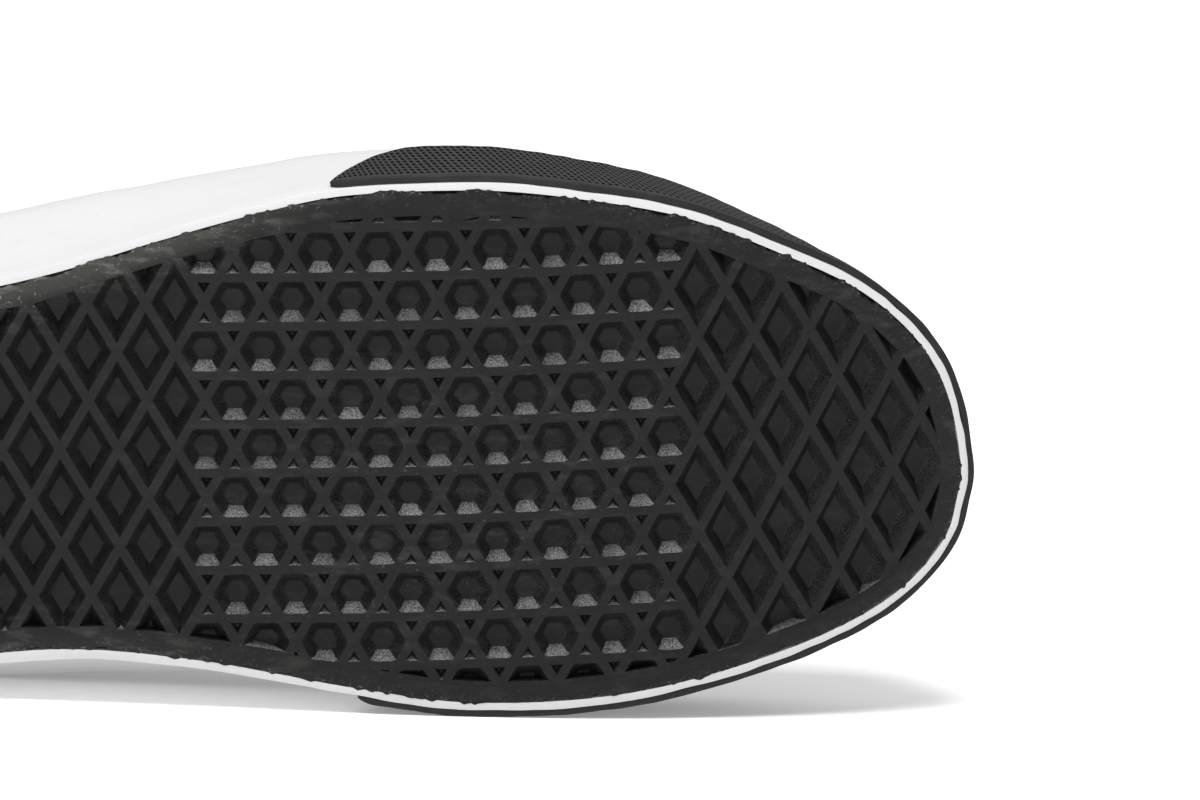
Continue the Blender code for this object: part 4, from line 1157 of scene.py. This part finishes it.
def makeToeCap():
    start, end = edgeAt(overlay["capEnds"][0], True) - 1, edgeAt(overlay["capEnds"][1], False)
    p = np.linspace(start, end, 120)
    away = np.clip(np.abs(p - (start + end) / 2) / ((end - start) / 2), 0, 1)
    least, more = overlay["capRise"]
    high = overlay["foot"] + least + more * (1 - away**2.2) ** 0.75
    makeOverlay("toeCap", p, np.full(p.shape, overlay["foot"]), high, 26, "toe_cap")
    doubleSeam(p, high)


def makeEyestay(drill):
    p = fromToe(overlay["stayEnd"], overlay["stayEnd"], 200)
    width = overlay["stayWidth"] - overlay["stayNarrower"] * np.clip(1 - np.abs(p) / 0.14, 0, 1)
    edgeGap = np.full(p.shape, overlay["stayEdge"])
    makeOverlay("eyestay", p, bBelowTop(p, width), bBelowTop(p, edgeGap), 12, "eyestay", drill)
    addSeam(p, bBelowTop(p, width - stitch["inset"]))
    addSeam(p, bBelowTop(p, edgeGap + stitch["inset"]))


def makeHeelCounter():
    start, end = edgeAt(overlay["counterEnd"], False), edgeAt(overlay["counterEnd"], True)
    p = np.linspace(start, end, 120)
    away = np.clip(np.abs(p - heelP) / ((end - start) / 2), 0, 1)
    least, more = overlay["counterRise"]
    high = overlay["foot"] + least + more * (1 - away**2) ** 0.8
    makeOverlay("heelCounter", p, np.full(p.shape, overlay["foot"]), high, 20, "heel_counter")
    doubleSeam(p, high)


def makeHeelTab():
    reach = overlay["tabReach"] / edgeLength
    p = heelP + np.linspace(-reach, reach, 24)
    top = bBelowTop(p, np.full(p.shape, overlay["tabEdge"]))
    makeOverlay("heelTab", p, np.full(p.shape, overlay["tabFoot"]), top, 18, "heel_tab")
    side = np.linspace(0.74, 0.97, 24)
    for edgeSide in (-0.82, 0.82):
        addSeam(np.full(24, heelP + reach * edgeSide), side)


patch = {"reach": 0.017, "foot": 0.0085, "top": 0.0215, "thickness": 0.0012}


def makePatch(look):
    reach = patch["reach"] / edgeLength
    p = heelP + np.linspace(-reach, reach, 40)
    low, top = patch["foot"], patch["top"]
    inner, outer = tapeFace + bumper["seat"], tapeFace + tape["clearance"] + patch["thickness"]
    section = [(low, inner), (low, outer - 0.0003), (low + 0.0003, outer)]
    section += [(top - 0.0003, outer), (top, outer - 0.0003), (top, inner)]
    bandObject("heelPatch", p, section, False, "heel_patch", look)


def makeStitches():
    # each stitch is a short capsule that dips into the suede at both ends
    sections, sides = 6, 5
    points, faces = [], []
    for base, outward in seams:
        run = runOf(base)
        step = stitch["length"] + stitch["gap"]
        for number in range(int(run[-1] / step)):
            at = number * step + np.linspace(0, 1, sections) * stitch["length"]
            centre = np.stack([np.interp(at, run, base[:, k]) for k in range(3)], -1)
            up = np.stack([np.interp(at, run, outward[:, k]) for k in range(3)], -1)
            up /= np.linalg.norm(up, axis=-1, keepdims=True)
            way = centre[-1] - centre[0]
            way /= np.linalg.norm(way)
            side = np.cross(way, up)
            swell = np.sin(np.linspace(0.16, math.pi - 0.16, sections))
            start = len(points)
            for k in range(sections):
                for turn in range(sides):
                    angle = math.tau * turn / sides
                    rise = stitch["radius"] * (1.5 * swell[k] - 0.9 + 0.9 * math.sin(angle))
                    wide = stitch["radius"] * (0.55 + 0.45 * swell[k]) * math.cos(angle)
                    points.append(tuple(centre[k] + up[k] * rise + side[k] * wide))
            for k in range(sections - 1):
                for turn in range(sides):
                    a, b = start + k * sides + turn, start + k * sides + (turn + 1) % sides
                    faces.append((a, b, b + sides, a + sides))
            faces.append(tuple(start + k for k in range(sides))[::-1])
            faces.append(tuple(start + (sections - 1) * sides + k for k in range(sides)))
    mesh = bpy.data.meshes.new("stitching")
    mesh.from_pydata(points, [], faces)
    mesh.shade_smooth()
    return paint(newObject("stitching", mesh, None), looks["thread"])


insole = {"inset": 0.0036, "thickness": 0.0055, "middle": -0.002}


def makeInsole():
    columns = 220
    p = placesRound(columns)
    low, top, inset = bottom, bottom + insole["thickness"], insole["inset"]
    profile = [(inset, low), (inset, top - 0.001), (inset + 0.0004, top - 0.0002)]
    profile += [(inset + 0.0014, top), (inset + 0.010, top - 0.0004)]
    rows = []
    for inward, height in profile:
        flat = edgePoint(p) - edgeNormal(p) * inward
        rows.append(np.concatenate([flat, np.full((columns, 1), height)], -1))
    axis = rows[-1].copy()
    axis[:, 1] = insole["middle"]
    outermost = rows[-1]
    for share in (0.25, 0.5, 0.75, 1.0):
        rows.append(outermost * (1 - share) + axis * share)
    flatLaid = np.stack(rows)
    mesh = gridMesh("footbed", sprung(flatLaid)[::-1], True, flatLaid[::-1, :, :2])
    return paint(newObject("footbed", mesh, "insole"), looks["footbed"])


tongue = {
    "thickness": 0.0045,
    "above": 0.030,  # length beyond the throat
    "lap": 0.016,  # under each side of the throat
    "rise": 0.001,
    "clearance": 0.0014,  # beside the padded collar
}


def tongueRow(along, lap):
    out = -(last["wall"] + suede["gap"] + tongue["clearance"] * max(0.56 - along, 0) / 0.09)
    spread = np.linspace(1, 0, 9)
    sides = []
    for medial, shares in ((False, spread), (True, spread[::-1])):
        place = np.full(9, edgeAt(along, medial))
        sides.append(skin(place, bBelowTop(place, lap * shares), out))
    lateral, medial = sides
    middle = []
    for t in np.linspace(0, 1, 12)[1:-1]:
        lift = np.array([0, 0, tongue["rise"] * math.sin(math.pi * t)])
        middle.append(lateral[-1] * (1 - t) + medial[0] * t + lift)
    return np.concatenate([lateral, middle, medial])


def makeTongue():
    stations = np.linspace(0.70, 0.475, 30)
    laps = np.linspace(tongue["lap"], 0.6 * tongue["lap"], 30)
    rows = [tongueRow(along, lap) for along, lap in zip(stations, laps)]
    centre = 14
    way = rows[-1][centre] - rows[-6][centre]
    way /= np.linalg.norm(way)
    top = tongueRow(stations[-1], 0.3 * tongue["lap"])
    for share in np.linspace(0.12, 1.0, 14):
        raisedRow = top + way * tongue["above"] * share + np.array([0, 0, 0.004]) * share**2
        narrow = 0.88 - 0.16 * share - 0.10 * max(0, share - 0.85) / 0.15
        middle = raisedRow[centre].copy()
        rows.append(middle + (raisedRow - middle) * np.array([1, narrow, 1 - 0.4 * share]))
    grid = np.stack(rows)[:, ::-1]
    obj = newObject("tonguePad", gridMesh("tonguePad", grid, False, layOf(grid)), "tongue")
    paint(obj, looks["canvas"], looks["lining"])
    thicken(obj, -tongue["thickness"], 0.0012, 1)
    return obj


def enamelMaterial():
    made, _, shader = newMaterial("eyeletEnamel", eyelet["colour"], 0.32, 0.5)
    shader.inputs["Metallic"].default_value = 0.6
    return made


def makeEyelets():
    enamel = enamelMaterial()
    hole, mid, half = eyelet["hole"], (eyelet["hole"] + eyelet["rim"]) / 2, (eyelet["rim"] - eyelet["hole"]) / 2
    bow = np.linspace(0.1, math.pi - 0.1, 9)
    profile = [(mid + half * math.cos(t), eyelet["thickness"] * (0.1 + 0.9 * math.sin(t))) for t in bow]
    profile += [(hole * 0.98, -0.0012), (hole * 0.86, -0.0012), (hole * 0.88, 0.0001)]
    turns = np.linspace(0, math.tau, 36, endpoint=False)
    for side, places in eyelets.items():
        for number, (p, b) in enumerate(places, 1):
            grid = np.array([[(r * math.cos(t), r * math.sin(t), z) for t in turns] for r, z in profile])
            mesh = gridMesh(f"eyelet_{side}{number}", grid, True)
            mesh.transform(eyeletFrame(p, b, suedeFace + 0.0002))
            obj = newObject(f"eyelet_{side}{number}", mesh, f"eyelet_{side}_{number}")
            paint(obj, enamel)


lace = {
    "width": 0.0075,
    "thickness": 0.0014,
    "over": 0.0002,  # height over the eyelets
    "bow": 0.38,  # how far it runs straight out of an eyelet, as a share of its span
    "dip": 0.0022,
    "dipReach": 0.0035,
    "gatherReach": 0.006,
    "colour": (0.76, 0.76, 0.74),
    "thread": 0.0007,
}


def laceMaterial():
    made, tree, shader = newMaterial("whiteLace", lace["colour"], 0.85, 0.2)
    weave = useGroup(tree, "weave", Thread=lace["thread"], Turn=0.785)
    # painted shade: the weave's hollows take a darker copy of the colour
    paintedWeaveShade = tuple(c * 0.72 for c in lace["colour"])
    tree.links.new(mixColour(tree, weave.outputs["Height"], paintedWeaveShade, lace["colour"]), shader.inputs["Base Color"])
    bumpFrom(tree, shader, weave.outputs["Height"], 0.00025, 0.9)
    return made


def laceRing(centre, run, facing, fromEnd):
    # towards each end the lace gathers and dips into the eyelet
    gather = min(1.0, 0.36 + fromEnd / lace["gatherReach"])
    dip = lace["dip"] * max(0.0, 1 - fromEnd / lace["dipReach"]) ** 2
    half, thick = lace["width"] / 2 * gather, lace["thickness"] / 2 * (1.4 - 0.4 * gather)
    side = run.cross(facing).normalized()
    normal = side.cross(run).normalized()
    spot = centre - normal * (dip - lace["thickness"] / 2)
    ring = []
    for turn in range(16):
        c, s = math.cos(math.tau * turn / 16), math.sin(math.tau * turn / 16)
        wide, high = math.copysign(abs(c) ** 0.45, c) * half, math.copysign(abs(s) ** 0.8, s) * thick
        ring.append(tuple(spot + side * wide + normal * high))
    return ring


def makeLaces():
    look = laceMaterial()
    up = suede["gap"] + suede["thickness"] + eyelet["lift"] + eyelet["thickness"] + lace["over"]
    steps = 48
    across = np.array([math.cos(math.tau * t / 16) * lace["width"] / 2 for t in range(16)])
    for number, (lateral, medial) in enumerate(zip(eyelets["lateral"], eyelets["medial"]), 1):
        first, final = eyeletFrame(*lateral, up), eyeletFrame(*medial, up)
        start, end = first.translation, final.translation
        span = (end - start).length
        reach = span * lace["bow"]
        path = interpolate_bezier(start, start - first.col[1].xyz * reach, end - final.col[1].xyz * reach, end, steps)
        rows = []
        for k, centre in enumerate(path):
            run = path[min(k + 1, steps - 1)] - path[max(k - 1, 0)]
            facing = first.col[2].xyz.lerp(final.col[2].xyz, k / (steps - 1))
            rows.append(laceRing(centre, run, facing, min(k, steps - 1 - k) / (steps - 1) * span))
        lay = np.zeros((steps, 16, 2))
        lay[..., 0] = np.linspace(0, span, steps)[:, None]
        lay[..., 1] = across
        mesh = gridMesh(f"lace{number}", np.array(rows), True, lay)
        mend(mesh, 0.0, True)
        paint(newObject(f"lace{number}", mesh, f"lace_bar_{number}"), look)


print("upper")
drill = makeDrill()
makeUpper(drill)
makeToeCap()
makeEyestay(drill)
makeHeelCounter()
makeHeelTab()
makePatch(outsoleMaterial())
makeInsole()
print("tongue and laces")
makeTongue()
makeEyelets()
makeLaces()
makeStitches()
bpy.context.view_layer.update()


# Stage, light and camera

studio = {
    "floor": (0.95, 0.95, 0.95),
    "table": 0.22,  # glow of the lit table
    "world": 0.38,
}
shoeMiddle = (0.02, 0, 0.05)
lamps = (  # name, place, watts, size, what it points at
    ("overhead", (0.0, -0.62, 1.4), 20.0, (0.58, 0.58), shoeMiddle),
    ("frontFill", (-0.5, -2.2, 0.35), 12.0, (1.4, 1.0), shoeMiddle),
    ("backWash", (0.0, 2.4, 2.4), 40.0, (5.0, 2.4), (0.0, 2.2, 0.0)),
)
photo = {
    "width": 1200,
    "height": 800,
    "perPitch": 58.354,  # pixels for one tread pitch
    "point": (0.2132, -0.01075, 0.0),  # in the shoe's frame, seen at the pixel below
    "pixel": (585.05, 437.9),
    "tilt": 15.4,  # degrees from the tread's normal
    "roll": -0.43,
    "distance": 3.65,
}


def makeStage():
    bpy.ops.mesh.primitive_plane_add(size=30, location=(0, 0, 0))
    floor = bpy.context.object
    floor.name = "floor"
    made, _, shader = newMaterial("paleFloor", studio["floor"], 0.9, 0.0)
    shader.inputs["Emission Color"].default_value = (1, 1, 1, 1)
    shader.inputs["Emission Strength"].default_value = studio["table"]
    paint(floor, made)
    world = bpy.data.worlds.new("studioWorld")
    bpy.context.scene.world = world
    world.use_nodes = True
    background = world.node_tree.nodes["Background"]
    background.inputs["Color"].default_value = (1, 1, 1, 1)
    background.inputs["Strength"].default_value = studio["world"]
    bpy.context.scene.view_settings.view_transform = "Standard"


def makeLight(name, place, power, size, target):
    light = bpy.data.lights.new(name, "AREA")
    light.energy = power
    light.shape = "RECTANGLE"
    light.size, light.size_y = size
    obj = bpy.data.objects.new(name, light)
    bpy.context.scene.collection.objects.link(obj)
    obj.location = place
    obj.rotation_mode = "QUATERNION"
    obj.rotation_quaternion = (Vector(target) - Vector(place)).to_track_quat("-Z", "Y")


def makeCamera():
    # a long lens above the tread's normal, with the photo's scale and centre
    tilt, roll, distance = math.radians(photo["tilt"]), math.radians(photo["roll"]), photo["distance"]
    metre = tread["pitch"] / photo["perPitch"]  # metres for one pixel
    across = photo["width"] * metre
    back = (-shoeUp * math.cos(tilt) - shoeSide * math.sin(tilt)).normalized()
    right = (shoeToe - back * shoeToe.dot(back)).normalized()
    right = Matrix.Rotation(roll, 3, back) @ right
    up = back.cross(right)
    aside = (photo["width"] / 2 - photo["pixel"][0]) * metre
    above = (photo["pixel"][1] - photo["height"] / 2) * metre
    target = shoe @ Vector(photo["point"]) + right * aside + up * above
    data = bpy.data.cameras.new("camera")
    data.sensor_width = 36
    data.lens = 36 * distance / across
    data.clip_start, data.clip_end = 0.1, 100
    cam = bpy.data.objects.new("camera", data)
    bpy.context.scene.collection.objects.link(cam)
    cam.matrix_world = Matrix((right, up, back)).transposed().to_4x4()
    cam.location = target + back * distance
    bpy.context.scene.camera = cam


print("stage")
makeStage()
for lamp in lamps:
    makeLight(*lamp)
makeCamera()
